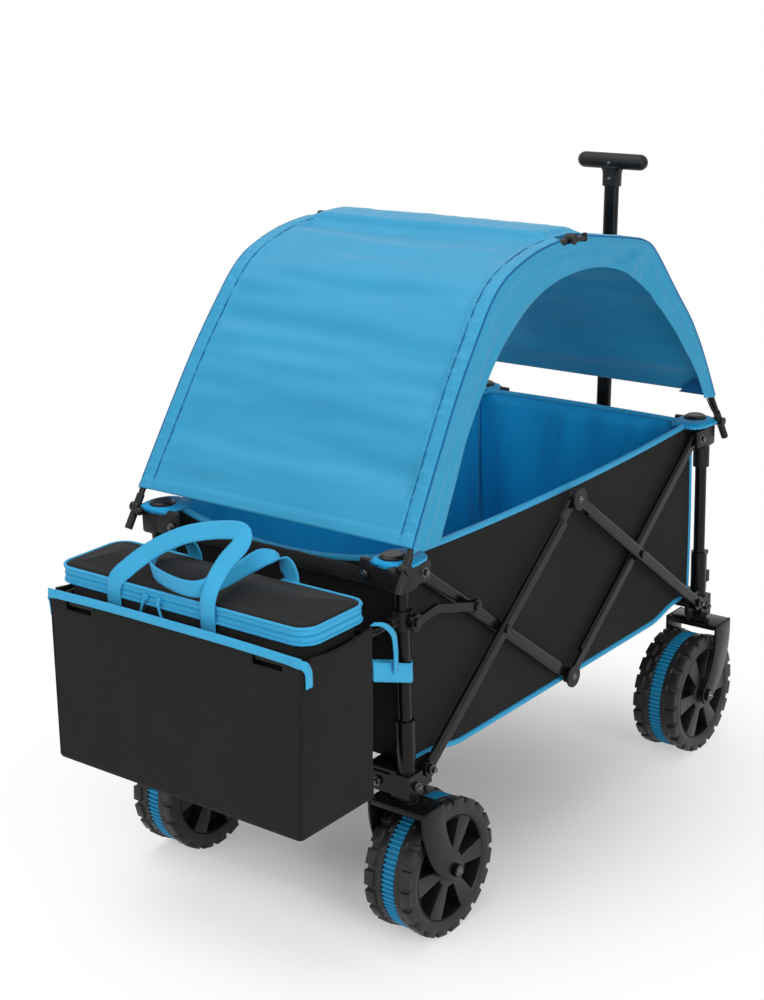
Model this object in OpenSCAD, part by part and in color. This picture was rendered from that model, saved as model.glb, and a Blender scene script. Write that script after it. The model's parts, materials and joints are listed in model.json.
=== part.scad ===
// Folding stroller wagon: two end frames joined by a double scissor on each side,
// a cloth tub, an arched canopy, a T-handle and a basket with a cooler bag behind.
// Millimetres, +Z up, +X towards the pull handle, origin on the floor under the middle.

/* [Wheels] */
// Diameter over the tread lugs
wheel_d = 200; // [150:5:260]
// Width over the tread
wheel_w = 80; // [50:2:110]
// Width of the coloured band in the tread
band_w = 24; // [12:1:30]
// Height of the shoulder lugs
lug_h = 6; // [3:0.5:9]
// Lugs around each shoulder
lug_count = 22; // [14:1:30]
// Ribs around the band
rib_count = 84; // [48:4:120]
// Height of the band ribs
rib_h = 1.2; // [0.6:0.1:2]
// Depth of the tyre from the groove to the rim
tyre_depth = 26; // [18:1:34]
// Thickness of the spoked rim web
web_t = 8; // [5:1:14]
// How far the spoked web lies inside the tyre's side
web_inset = 16; // [8:1:24]
// Windows in the spoked web
window_count = 6; // [4:1:8]
// Hub diameter
hub_d = 46; // [34:1:60]
// Axle diameter
axle_d = 10; // [8:0.5:14]
// Castor trail, from the post to the axle
trail = 46; // [30:1:60]

/* [Frame] */
// Half the distance between the front and rear posts
post_x = 408; // [355:1:480]
// Distance of the side pivots inside the posts' middle
pivot_in = 30; // [26:1:60]
// Half the distance between the left and right posts
post_y = 224; // [190:1:260]
// Height of the lower side pivots
low_z = 254; // [244:1:268]
// Height of the upper side pivots
high_z = 540; // [500:1:600]
// Post tube diameter
post_d = 19; // [16:0.5:24]
// Post tube wall
post_wall = 2.4; // [1.5:0.1:3]
// Wall of the sleeve around the foot of each post
sleeve_wall = 3.4; // [2.5:0.1:5]
// Height of the sleeve
sleeve_h = 77; // [50:1:110]
// Cross tube diameter
cross_d = 20; // [16:0.5:24]
// Height of a scissor tube's section
link_h = 20; // [16:0.5:26]
// Thickness of a scissor tube's section
link_t = 10; // [8:0.5:13]
// Pivot pin diameter
pin_d = 8; // [6:0.5:10]
// Diameter of the round knuckle covers at the knees
knuckle_d = 34; // [26:1:42]
// Half width of the lower corner bracket
low_block = 16; // [15:0.5:20]
// Height of the lower corner bracket
low_block_h = 36; // [28:1:44]
// Reach of the lower bracket's end arm along the cross tube
low_arm = 46; // [34:1:60]
// Half width of the upper corner bracket
top_block = 17; // [16:0.5:20]
// Height of the upper corner bracket
top_block_h = 42; // [36:1:50]
// Reach of the upper bracket's end arm along the cross tube
top_arm = 40; // [30:1:50]
// Diameter of the round corner cap
cap_d = 36; // [26:1:40]
// Distance of the round caps inside the posts' middle, across the wagon
cap_in = 13; // [0:1:14]
// Height of the round corner cap
cap_h = 8; // [5:0.5:12]

/* [Forks] */
// Thickness of the folded fork plate
fork_t = 4; // [3:0.5:6]
// Gap between tyre and fork leg
fork_gap = 4; // [3:0.5:8]
// Length of the crown along the wagon
crown_l = 50; // [44:1:110]
// Radius of the fork's lower end
fork_end_r = 17; // [13:0.5:22]
// Gap between tyre and crown
crown_gap = 11; // [8:1:18]
// Castor stem diameter
stem_d = 14; // [10:0.5:18]

/* [Tub] */
// Cloth and board thickness of the tub walls
tub_wall = 3; // [2:0.5:6]
// Thickness of the floor board
floor_t = 9; // [6:0.5:14]
// Height of the tub's top edge above the upper side pivots
rim_rise = 18; // [8:1:20]

/* [Canopy] */
// Pole diameter
pole_d = 9; // [7:0.5:12]
// Distance of the pole planes outside the posts' middle
pole_out = 22; // [20:1:34]
// How far each pole leans in at its ridge hinge
pole_lean = 18; // [0:1:30]
// Height of the ridge hinges above the pole pivots
ridge_rise = 369; // [300:1:440]
// Half the distance between the pole elbows
elbow_x = 200; // [150:1:240]
// Height of the pole elbows above the pole pivots
elbow_rise = 337; // [270:1:380]
// Bend radius of the elbows
elbow_r = 70; // [40:1:100]
// Distance of the pole pivots outside the posts' middle, along the wagon
foot_out = 19; // [19:0.5:30]
// Depth of the pole pivots below the upper brackets' top
foot_drop = 3; // [3:0.5:12]
// Pole length below its pivot
peg_l = 34; // [15:1:50]
// Height of the roof's rear hem above the pole pivots
rear_hem_rise = 24; // [20:1:100]
// Height of the roof's front hem above the pole pivots
front_hem_rise = 49; // [20:1:100]
// Cloth thickness
cloth_t = 2; // [1:0.2:3]
// Depth of the side arch's crown below the ridge hinges
arch_drop = 52; // [45:1:150]
// Distance of the side arch's feet inside the posts' middle
arch_in = 56; // [40:1:120]
// Clear height of the arch's feet above the tub edge
arch_foot = 10; // [4:1:30]

/* [Handle] */
// Distance of the handle pivot from the front posts
handle_ahead = 42; // [36:1:60]
// Length from the pivot to the grip bar
handle_l = 724; // [600:1:820]
// Forward lean of the parked handle, degrees
handle_lean = 3.2; // [0:0.1:8]
// Width of the sliding tube
bar_w = 26; // [20:0.5:32]
// Depth of the sliding tube
bar_t = 18; // [13:0.5:24]
// Wall of the fixed outer tube
outer_wall = 3; // [2:0.5:5]
// Length of the fixed outer tube above the pivot
outer_l = 295; // [220:1:330]
// Length of the sliding tube held inside the outer one
bar_hold = 75; // [50:1:110]
// Grip bar diameter
grip_d = 25; // [18:0.5:32]
// Grip bar length
grip_l = 132; // [100:1:180]
// Length of the grip's socket below the bar
socket_l = 42; // [25:1:60]

/* [Basket and bag] */
// Rail tube diameter
rail_d = 12; // [9:0.5:16]
// Depth of the basket rail below the upper side pivots
rail_drop = 60; // [45:1:100]
// Distance of the rail's far run from the rear posts
rail_reach = 203; // [160:1:240]
// Distance of the rail's arms inside the posts' middle
rail_in = 3; // [0:1:20]
// Bend radius of the rail
rail_bend = 20; // [14:1:40]
// Depth of the basket's floor below the rail
basket_depth = 230; // [180:1:255]
// How far each side draws in at the basket's floor
basket_taper = 12; // [0:1:30]
// Gap between the posts' middle and the basket's near wall
basket_gap = 68; // [50:1:80]
// Basket cloth thickness
basket_t = 2.5; // [1.5:0.5:4]
// Height of the basket hem above the rail's middle
hem_h = 13; // [8:1:20]
// Height of the cooler bag's lid joint above the rail
bag_rise = 24; // [10:1:40]
// Thickness of the cooler bag's lid
lid_t = 25; // [15:1:35]
// How far the cooler bag's lid stands past its ends
lid_side = 11; // [0:1:14]
// Padded wall of the cooler bag
bag_wall = 5; // [3:0.5:8]
// Corner radius of the cooler bag
bag_r = 26; // [12:1:40]
// Width of the zip band
zip_w = 16; // [10:1:24]
// Webbing width
webbing_w = 30; // [20:1:40]
// Webbing thickness
webbing_t = 2; // [1.2:0.1:3]
// Depth of the strap around each post below the rail
strap_drop = 89; // [50:1:110]
// Half the distance between a carry handle's feet
handle_foot_y = 80; // [50:1:110]

/* [Hidden] */
$fn = 48;
// Running clearance around pins, posts and shafts
run_clear = 0.1;
// Clear gap between neighbours that don't touch
gap = 0.3;
// Overrun of every cut
over = 1;
// Gap between the two scissor layers
layer_gap = 0.8;
// How far the inner scissor layer starts inside the posts' middle
layer_in = 2;
// Clearance between tub and scissor layer
tub_clear = 9;
// Bolt head sizes
head_d = 13;
head_t = 3;
// Plate thickness of the brackets
plate_t = 5;
// Half height of the bracket plates at the pivots
plate_half = 15;
// Room between a bracket plate's end and its pivot
plate_end = 16;
// How far the upper brackets' middle lies above their pivots
top_lift = 1;
// Eye radius of the scissor tubes
eye_r = 12;
// Length of the half lapped tongue at each knee
tongue_l = 44;

pivot_x = post_x - pivot_in;
mid_z = (low_z + high_z) / 2;
link_rise = high_z - low_z;
link_l = sqrt(pivot_x * pivot_x + link_rise * link_rise);
link_a = atan2(link_rise, pivot_x);
inner_y = post_y - layer_in;
outer_y = inner_y + link_t + layer_gap;
lap_t = (link_t - layer_gap) / 2;
tub_y = inner_y - tub_clear;
tub_x = post_x - max(low_block, top_block) - gap;
rim_z = high_z + rim_rise;
wheel_r = wheel_d / 2;
axle_x = post_x - trail;
crown_z = wheel_d + crown_gap;
stem_h = 6;
low_z0 = crown_z + fork_t + stem_h;
low_z1 = low_z0 + low_block_h;
ledge_t = 4;
floor_z = low_z1 + ledge_t + gap;
cross_z = low_z0 + low_block_h / 2;
sleeve_bore = post_d + 2 * run_clear;
sleeve_d = sleeve_bore + 2 * sleeve_wall;
mast_d = post_d - 2 * post_wall - 2 * run_clear;
top_z1 = high_z + top_block_h / 2 + top_lift;
top_z0 = top_z1 - top_block_h;
top_cross_z = top_z0 + post_d / 2;
mast_top = top_z0 - cross_d;
collar_d = 27;
collar_h = 26;
strut_y = max(post_y + collar_d / 2, outer_y + link_t) + gap;
strut_w = 12;
strut_t = 6;
strut_at = 135;
strut_rise = 5;
pole_y = post_y + pole_out;
pole_foot_x = post_x + foot_out;
pole_foot_z = top_z1 - foot_drop;
ridge_z = pole_foot_z + ridge_rise;
elbow_z = pole_foot_z + elbow_rise;
ridge_y = pole_y - pole_lean;
lean_a = asin(pole_lean / ridge_rise);
arch_z = ridge_z - arch_drop;
arch_x = post_x - arch_in;
leg_a = atan2(elbow_z - pole_foot_z, pole_foot_x - elbow_x);
top_a = atan2(ridge_z - elbow_z, elbow_x);
bend_l = elbow_r * tan((leg_a - top_a) / 2);
ear_l = 18;
ear_h = 24;
clip_d = 14;
clip_t = 7;
ear_y = pole_y - pole_d / 2 - clip_t / 2;
foot_pin_d = 5;
clip_y = max(ear_y, post_y - cap_in + cap_d / 2) + gap;
ear_x = post_x + cap_d / 2 + gap;
float_l = 7;
knuckle_t = 7;
ridge_pin_d = 5;
ferrule_l = 12;
ferrule_t = 0.8;
arch_power = 1.65;
arch_steps = 24;
elbow_steps = 8;
cap_share = 2 / 3;
crown_share = 0.56;
knee_share = 1 / 3;
bolt_share = 3 / 4;
handle_x = post_x + handle_ahead;
outer_w = bar_w + 2 * outer_wall;
outer_t = bar_t + 2 * outer_wall;
ear_t = 5;
handle_pin_d = 10;
grip_hub_t = 1.5;
rail_x = -post_x - rail_reach;
rail_y = post_y - rail_in;
rail_z = high_z - rail_drop;
basket_z = rail_z - basket_depth;
bag_z = rail_z + bag_rise;
strap_z = max(rail_z - strap_drop, low_z1 + sleeve_h + gap);
basket_y = rail_y + rail_d / 2 + gap + basket_t + basket_taper * hem_h / (hem_h + basket_depth);
basket_x0 = rail_x - rail_d / 2 - gap - basket_t;
basket_x1 = -post_x - basket_gap;
basket_top = rail_z + hem_h;
near_top = rail_z - rail_d / 2 - gap;
bag_x0 = rail_x + rail_d / 2 + gap;
bag_x1 = basket_x1 - basket_t - gap;
bag_y = min(rail_y - rail_d / 2, basket_y - basket_taper - basket_t) - gap;
bag_z0 = basket_z + basket_t + gap;
latch_w = 12;
latch_t = 9;
latch_drop = 6;
latch_top = low_z1 + sleeve_h - latch_drop;
front_reach = handle_x + handle_l * sin(handle_lean) + grip_d / 2;
rear_reach = basket_x0;
frame_shift = -(front_reach + rear_reach) / 2;

wheel_names = ["rear_right", "rear_left", "front_right", "front_left"];

steel_black = "#2b2926";
plastic_black = "#232324";
cloth_black = "#2a2a2c";
cloth_blue = "#3f9fd0";
trim_blue = "#45b0e0";
rubber_black = "#2a292b";

// Shared helpers

// Draws a left-hand piece and its right-hand twin
module both_sides() {
  children();
  mirror([0, 1, 0]) children();
}

// Turns a rear piece into a front one
module at_front() {
  mirror([1, 0, 0]) children();
}

// Box between two corners
module box(low, high) {
  translate(low) cube(high - low);
}

// Rod along +Y from one depth to another
module y_rod(x, z, y0, y1, d) {
  translate([x, y0, z]) rotate([-90, 0, 0]) cylinder(h = y1 - y0, d = d);
}

// Flat-oval section, long side along X
module oval(long, short) {
  square([long - short, short], center = true);
  for (s = [-1, 1]) translate([s * (long - short) / 2, 0]) circle(d = short);
}

// Rounded rectangle between two corners
module round_rect(x0, y0, x1, y1, r) {
  translate([x0 + r, y0]) square([x1 - x0 - 2 * r, y1 - y0]);
  translate([x0, y0 + r]) square([x1 - x0, y1 - y0 - 2 * r]);
  for (x = [x0 + r, x1 - r], y = [y0 + r, y1 - r]) translate([x, y]) circle(r = r);
}

// Scissor links

// One flat-oval scissor tube along +X with its bores, lapped at the far end
module link(layer_y, lap_y) {
  bar_l = link_l - tongue_l;
  difference() {
    union() {
      translate([0, layer_y + link_t / 2, 0]) rotate([0, 90, 0]) linear_extrude(bar_l) oval(link_h, link_t);
      y_rod(0, 0, layer_y, layer_y + link_t, 2 * eye_r);
      y_rod(link_l, 0, lap_y, lap_y + lap_t, 2 * eye_r);
      box([bar_l - over, lap_y, -link_h / 2 + link_t / 4], [link_l, lap_y + lap_t, link_h / 2 - link_t / 4]);
    }
    for (x = [0, link_l / 2, link_l])
      y_rod(x, 0, layer_y - over, layer_y + link_t + over, pin_d + 2 * run_clear);
  }
}

module links_a() {
  color(steel_black) both_sides()
    translate([-pivot_x, 0, low_z]) rotate([0, -link_a, 0]) link(outer_y, outer_y);
}

module links_d() {
  color(steel_black) both_sides() at_front()
    translate([-pivot_x, 0, low_z]) rotate([0, -link_a, 0]) link(outer_y, outer_y + link_t - lap_t);
}

module links_b() {
  color(steel_black) both_sides()
    translate([-pivot_x, 0, high_z]) rotate([0, link_a, 0]) link(inner_y, inner_y);
}

module links_c() {
  color(steel_black) both_sides() at_front()
    translate([-pivot_x, 0, high_z]) rotate([0, link_a, 0]) link(inner_y, inner_y + link_t - lap_t);
}

// Pivot pin with a head on each side
module pivot_pin(x, z, y0, y1, cover_d) {
  y_rod(x, z, y0 - gap, y1 + gap, pin_d);
  y_rod(x, z, y1 + gap, y1 + gap + head_t, cover_d);
  y_rod(x, z, y0 - gap - head_t, y0 - gap, head_d);
}

module pins_a() {
  color(plastic_black) both_sides() {
    pivot_pin(-pivot_x / 2, mid_z, inner_y, outer_y + link_t, head_d);
    pivot_pin(0, high_z, outer_y, outer_y + link_t, knuckle_d);
  }
}

module pins_c() {
  color(plastic_black) both_sides() {
    pivot_pin(pivot_x / 2, mid_z, inner_y, outer_y + link_t, head_d);
    pivot_pin(0, low_z, inner_y, inner_y + link_t, knuckle_d);
  }
}

// Lower corners

// Steel corner bracket with its sleeve, side plate, end arm and floor ledge
module low_bracket() {
  arm_y1 = outer_y - layer_gap;
  difference() {
    union() {
      box([-post_x - low_block, post_y - low_block, low_z0],
          [-post_x + low_block, post_y + low_block, low_z1]);
      box([-post_x, arm_y1 - plate_t, low_z0 + ledge_t], [-pivot_x + plate_end, arm_y1, low_z + plate_half]);
      box([-post_x - low_block, post_y - low_block - low_arm, low_z0 + ledge_t],
          [-post_x - cross_d / 2, post_y - low_block, low_z1 - ledge_t]);
      box([-post_x - low_block, tub_y - low_arm, low_z1],
          [-pivot_x + plate_end, tub_y + tub_clear / 2, low_z1 + ledge_t]);
      translate([-post_x, post_y, low_z1]) cylinder(h = sleeve_h, d = sleeve_d);
    }
    translate([-post_x, post_y, low_z1]) cylinder(h = sleeve_h + over, d = sleeve_bore);
    translate([-post_x, post_y, low_z0 - over])
      cylinder(h = low_block_h - ledge_t + over, d = stem_d + 2 * run_clear);
    y_rod(-post_x, cross_z, post_y - low_block - low_arm - over, post_y - low_block, cross_d + 2 * run_clear);
  }
  y_rod(-pivot_x, low_z, arm_y1 - plate_t, outer_y + link_t + gap, pin_d);
  y_rod(-pivot_x, low_z, outer_y + link_t + gap, outer_y + link_t + gap + head_t, head_d);
  y_rod(-post_x, cross_z, post_y + low_block, post_y + low_block + head_t, head_d);
  translate([-post_x - low_block - head_t, post_y - low_block - low_arm / 2, cross_z])
    rotate([0, 90, 0]) cylinder(h = head_t, d = head_d);
}

module rear_brackets() {
  color(steel_black) both_sides() low_bracket();
}

module front_brackets() {
  color(steel_black) at_front() both_sides() low_bracket();
}

// Lower cross tube with the two inner masts that guide the posts
module base_tubes() {
  cross_l = 2 * (post_y - low_block);
  translate([-post_x, -cross_l / 2, cross_z]) rotate([-90, 0, 0]) cylinder(h = cross_l, d = cross_d);
  both_sides() translate([-post_x, post_y, low_z1]) cylinder(h = mast_top - low_z1, d = mast_d);
}

module rear_base_tubes() {
  color(steel_black) base_tubes();
}

module front_base_tubes() {
  color(steel_black) at_front() base_tubes();
}

// Spring latch on the front of a front sleeve
module latch() {
  x0 = post_x + sleeve_d / 2 + gap;
  y0 = post_y - latch_w / 2;
  box([x0, y0, low_z1 + ledge_t + gap], [x0 + latch_t / 2, y0 + latch_w, latch_top]);
  box([x0, y0 - latch_w / 4, low_z1 + sleeve_h / 4],
      [x0 + latch_t, y0 + latch_w + latch_w / 4, low_z1 + sleeve_h / 2]);
  y_rod(x0 + latch_t / 2, latch_top, y0, y0 + latch_w, latch_t);
}

module latch_left() {
  color(plastic_black) latch();
}

module latch_right() {
  color(plastic_black) mirror([0, 1, 0]) latch();
}

// Upper corners

// Post tubes joined by the upper cross tube
module hoop() {
  difference() {
    union() {
      both_sides() translate([-post_x, post_y, low_z1 + gap])
        cylinder(h = top_z1 - ledge_t - low_z1 - gap, d = post_d);
      translate([-post_x, -post_y, top_cross_z]) rotate([-90, 0, 0])
        cylinder(h = 2 * post_y, d = post_d - post_wall);
    }
    both_sides() translate([-post_x, post_y, low_z1])
      cylinder(h = mast_top + cross_d / 2 - low_z1, d = post_d - 2 * post_wall);
  }
}

module rear_hoop() {
  color(steel_black) hoop();
}

module front_hoop() {
  color(steel_black) at_front() hoop();
}

// Upper corner bracket; slot lets the pole pin float, neck adds a collar below
module top_bracket(slot, neck) {
  outer = outer_y + plate_t;
  difference() {
    union() {
      box([-post_x - top_block, post_y - top_block, top_z0], [-post_x + top_block, outer, top_z1]);
      box([-post_x, outer_y, high_z - plate_half], [-pivot_x + plate_end, outer, high_z + plate_half]);
      box([-post_x - top_block, post_y - top_block - top_arm, top_z0 + plate_t],
          [-post_x - post_d / 2, post_y - top_block, top_z1]);
      box([-pole_foot_x - ear_l, post_y, pole_foot_z - ear_h / 2],
          [-ear_x, ear_y, pole_foot_z + ear_h / 2]);
      box([-ear_x, post_y, pole_foot_z - ear_h / 2], [-post_x, ear_y, top_z1]);
      if (neck) translate([-post_x, post_y, top_z0 - cap_d]) cylinder(h = cap_d, d = sleeve_d);
    }
    translate([-post_x, post_y, top_z0 - cap_d - over])
      cylinder(h = cap_d + top_block_h - ledge_t + over, d = post_d + 2 * run_clear);
    y_rod(-post_x, top_cross_z, post_y - top_block - top_arm - over, post_y, post_d + 2 * run_clear);
    for (x = slot ? [0 : float_l / 4 : float_l] : [0])
      y_rod(-pole_foot_x + x, pole_foot_z, post_y - over, ear_y + over, foot_pin_d + 2 * gap);
    if (slot) box([-pole_foot_x, post_y - over, pole_foot_z - foot_pin_d / 2 - gap],
                  [-pole_foot_x + float_l, ear_y + over, pole_foot_z + foot_pin_d / 2 + gap]);
  }
  y_rod(-pivot_x, high_z, inner_y, outer, pin_d);
  y_rod(-pivot_x, high_z, outer, outer + head_t, head_d);
  translate([-post_x - top_block - head_t, post_y - top_block - top_arm * bolt_share, high_z])
    rotate([0, 90, 0]) cylinder(h = head_t, d = head_d);
}

module rear_top_brackets() {
  color(plastic_black) both_sides() top_bracket(false, false);
}

module front_top_brackets() {
  color(plastic_black) at_front() both_sides() top_bracket(true, true);
}

// Round cap with a softened edge
module caps() {
  both_sides() translate([-post_x, post_y - cap_in, top_z1]) {
    cylinder(h = cap_h * cap_share, d = cap_d);
    translate([0, 0, cap_h * cap_share])
      cylinder(h = cap_h * (1 - cap_share), d1 = cap_d, d2 = cap_d - cap_h);
  }
}

module rear_caps() {
  color(plastic_black) caps();
}

module front_caps() {
  color(plastic_black) at_front() caps();
}

// Basket carrier

// Clamp on each rear post that takes the rail's end and the strut's pin
module rail_collars() {
  socket_x = -post_x - collar_d;
  color(plastic_black) both_sides() difference() {
    union() {
      translate([-post_x, post_y, rail_z - collar_h / 2]) cylinder(h = collar_h, d = collar_d);
      translate([socket_x, rail_y, rail_z]) rotate([0, 90, 0]) cylinder(h = collar_d, d = rail_d + plate_t);
      y_rod(-post_x, rail_z, post_y, strut_y + strut_t + gap, pin_d);
      y_rod(-post_x, rail_z, strut_y + strut_t + gap, strut_y + strut_t + gap + head_t, head_d);
    }
    translate([-post_x, post_y, rail_z - collar_h]) cylinder(h = 2 * collar_h, d = post_d + 2 * run_clear);
    translate([socket_x - over, rail_y, rail_z]) rotate([0, 90, 0])
      cylinder(h = collar_d / 2 + over, d = rail_d + 2 * run_clear);
  }
}

// U-shaped rail behind the rear posts
module basket_rail() {
  arm_x = -post_x - collar_d / 2;
  far_l = 2 * (rail_y - rail_bend);
  color(steel_black) {
    both_sides() {
      translate([rail_x + rail_bend, rail_y, rail_z]) rotate([0, 90, 0])
        cylinder(h = arm_x - rail_x - rail_bend - run_clear, d = rail_d);
      translate([rail_x + rail_bend, rail_y - rail_bend, rail_z]) rotate([0, 0, 90])
        rotate_extrude(angle = 90) translate([rail_bend, 0]) circle(d = rail_d);
    }
    y_rod(rail_x, rail_z, -far_l / 2, far_l / 2, rail_d);
  }
}

// Bent strip along three points, mitred at the middle one
module bent_strip(p0, p1, p2, width) {
  unit = function(v) v / norm(v);
  side = function(v) [-unit(v)[1], unit(v)[0]] * width / 2;
  n0 = side(p1 - p0);
  n1 = side(p2 - p1);
  mitre = (n0 + n1) / (1 + n0 * n1 / (n0 * n0));
  polygon([p0 + n0, p1 + mitre, p2 + n1, p2 - n1, p1 - mitre, p0 - n0]);
}

// Bent struts between the collars and the scissor tubes
module rail_struts() {
  foot = [0, 0];
  pad = [strut_at * cos(link_a) + post_x - pivot_x, high_z - strut_at * sin(link_a) - rail_z];
  knee = [pad[0] * knee_share, strut_rise];
  color(steel_black) both_sides() translate([-post_x, 0, rail_z]) {
    difference() {
      translate([0, strut_y + strut_t, 0]) rotate([90, 0, 0]) linear_extrude(strut_t) {
        bent_strip(foot, knee, pad, strut_w);
        circle(r = eye_r);
        translate(pad) circle(d = link_h);
      }
      y_rod(0, 0, strut_y - over, strut_y + strut_t + over, pin_d + 2 * run_clear);
    }
    y_rod(pad[0], pad[1], inner_y + link_t + gap, strut_y, head_d);
    y_rod(pad[0], pad[1], strut_y + strut_t, strut_y + strut_t + head_t, head_d);
  }
}

// Outline of the basket seen from behind, drawn in by a wall
module basket_outline(inset, low, high) {
  span = basket_top - basket_z;
  half = function(z) basket_y - inset - basket_taper * (basket_top - z) / span;
  polygon([[-half(low), low], [half(low), low], [half(high), high], [-half(high), high]]);
}

// Open cloth basket with its near wall cut down under the rail's arms
module basket() {
  color(cloth_black) difference() {
    translate([basket_x0, 0, 0]) rotate([90, 0, 90]) linear_extrude(basket_x1 - basket_x0)
      basket_outline(0, basket_z, basket_top);
    translate([basket_x0 + basket_t, 0, 0]) rotate([90, 0, 90])
      linear_extrude(basket_x1 - basket_x0 - 2 * basket_t)
        basket_outline(basket_t, basket_z + basket_t, basket_top + over);
    translate([basket_x1 - basket_t - over, 0, 0]) rotate([90, 0, 90]) linear_extrude(basket_t + 2 * over)
      basket_outline(basket_t - gap, near_top, basket_top + over);
  }
}

// Webbing loop from the basket's near wall around each rear post
module basket_straps() {
  loop_r = post_d / 2 + gap;
  color(trim_blue) both_sides() translate([0, 0, strap_z]) linear_extrude(webbing_w) difference() {
    union() {
      translate([-post_x, post_y]) circle(r = loop_r + webbing_t);
      translate([basket_x1, post_y - loop_r - webbing_t])
        square([-post_x - basket_x1, 2 * (loop_r + webbing_t)]);
    }
    translate([-post_x, post_y]) circle(r = loop_r);
    translate([basket_x1 + webbing_t, post_y - loop_r])
      square([-post_x - basket_x1 - webbing_t, 2 * loop_r]);
  }
}

// Cooler bag

// Plan of the cooler bag or its longer lid, drawn in by a wall
module bag_plan(inset, side = 0) {
  half = bag_y + side - inset;
  round_rect(bag_x0 + inset, -half, bag_x1 - inset, half, bag_r - inset);
}

module cooler_bag() {
  color(cloth_black) difference() {
    translate([0, 0, bag_z0]) linear_extrude(bag_z - bag_z0) bag_plan(0);
    translate([0, 0, bag_z0 + bag_wall]) linear_extrude(bag_z - bag_z0) bag_plan(bag_wall);
  }
}

// Lid hinged on the wagon side, with a raised top panel
module cooler_lid() {
  color(cloth_black) difference() {
    translate([0, 0, bag_z + gap]) linear_extrude(lid_t) bag_plan(webbing_t, lid_side);
    translate([0, 0, bag_z + gap - over]) linear_extrude(lid_t - bag_wall + over)
      bag_plan(webbing_t + bag_wall, lid_side);
  }
}

// Zip band around the lid's edge on three sides
module cooler_zip() {
  zip_z = bag_z + lid_t / 2 - zip_w / 2 + gap;
  color(trim_blue) translate([0, 0, zip_z]) linear_extrude(zip_w) difference() {
    bag_plan(0, lid_side);
    bag_plan(webbing_t, lid_side);
    translate([bag_x1 - bag_r, -bag_y - lid_side - over])
      square([bag_r + over, 2 * (bag_y + lid_side + over)]);
  }
}

// Two webbing loops standing at the bag's long sides, over the lid
module carry_handles() {
  foot_z = rail_z + rail_d / 2 + gap;
  bend_z = bag_z + lid_t;
  color(trim_blue) for (x = [bag_x0 - gap - webbing_t, bag_x1 + gap])
    translate([x, 0, 0]) rotate([90, 0, 90]) linear_extrude(webbing_t) {
      for (y = [-handle_foot_y, handle_foot_y]) translate([y - webbing_w / 2, foot_z])
        square([webbing_w, bend_z - foot_z]);
      translate([0, bend_z]) intersection() {
        difference() {
          circle(r = handle_foot_y + webbing_w / 2);
          circle(r = handle_foot_y - webbing_w / 2);
        }
        translate([-handle_foot_y - webbing_w, 0])
          square([2 * (handle_foot_y + webbing_w), handle_foot_y + webbing_w]);
      }
    }
}

// Tub

module tub_side() {
  box([-tub_x, tub_y - tub_wall, floor_z], [tub_x, tub_y, rim_z]);
}

module tub_side_left() {
  color(cloth_black) tub_side();
}

module tub_side_right() {
  color(cloth_black) mirror([0, 1, 0]) tub_side();
}

// End wall between the two sides
module tub_end() {
  half = tub_y - tub_wall - gap;
  box([-tub_x, -half, floor_z], [-tub_x + tub_wall, half, rim_z]);
}

module tub_rear_wall() {
  color(cloth_black) tub_end();
}

module tub_front_wall() {
  color(cloth_black) at_front() tub_end();
}

module tub_floor() {
  half_x = tub_x - tub_wall - gap;
  half_y = tub_y - tub_wall - gap;
  color(cloth_blue) box([-half_x, -half_y, floor_z], [half_x, half_y, floor_z + floor_t]);
}

// Wheels

// Ring of teeth as a flat outline: lug_share is the tooth's part of the pitch
module tooth_ring(count, root_r, tip_r, lug_share) {
  pitch = 360 / count;
  polygon([for (i = [0 : count - 1], s = [-1, 0, 1, 2])
    let (a = i * pitch - 90 + (s < 2 ? s * lug_share / 2 * pitch : pitch / 2), r = s < 2 ? tip_r : root_r)
    each (s == 1 ? [[r * cos(a), r * sin(a)], [root_r * cos(a), root_r * sin(a)]]
        : s == -1 ? [[root_r * cos(a), root_r * sin(a)], [r * cos(a), r * sin(a)]]
        : [[r * cos(a), r * sin(a)]])]);
}

// Puts a wheel drawn about +Z with its middle at zero on its axle
module on_axle(front, right) {
  translate([(front ? 1 : -1) * axle_x, (right ? -1 : 1) * post_y, wheel_r])
    rotate([right ? 90 : -90, 0, 0]) children();
}

// Chunky tyre: two lugged shoulders with a groove for the band
module tyre() {
  groove_r = wheel_r - lug_h;
  rim_r = groove_r - tyre_depth;
  half = wheel_w / 2;
  lug_share = 0.62;
  color(rubber_black) difference() {
    union() {
      translate([0, 0, band_w / 2 + gap]) linear_extrude(half - band_w / 2 - gap)
        tooth_ring(lug_count, groove_r, wheel_r, lug_share);
      translate([0, 0, -half]) linear_extrude(half - band_w / 2 - gap)
        tooth_ring(lug_count, groove_r, wheel_r, lug_share);
      translate([0, 0, -half]) cylinder(h = wheel_w, r = groove_r - lug_h);
    }
    translate([0, 0, -half - over]) cylinder(h = wheel_w + 2 * over, r = rim_r);
  }
}

// Coloured band with cross ribs
module band() {
  core_r = wheel_r - 2 * lug_h;
  rib_r = wheel_r - lug_h / 2;
  rib_share = 0.5;
  color(trim_blue) translate([0, 0, -band_w / 2]) linear_extrude(band_w) difference() {
    tooth_ring(rib_count, rib_r - rib_h, rib_r, rib_share);
    circle(r = core_r + run_clear);
  }
}

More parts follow.
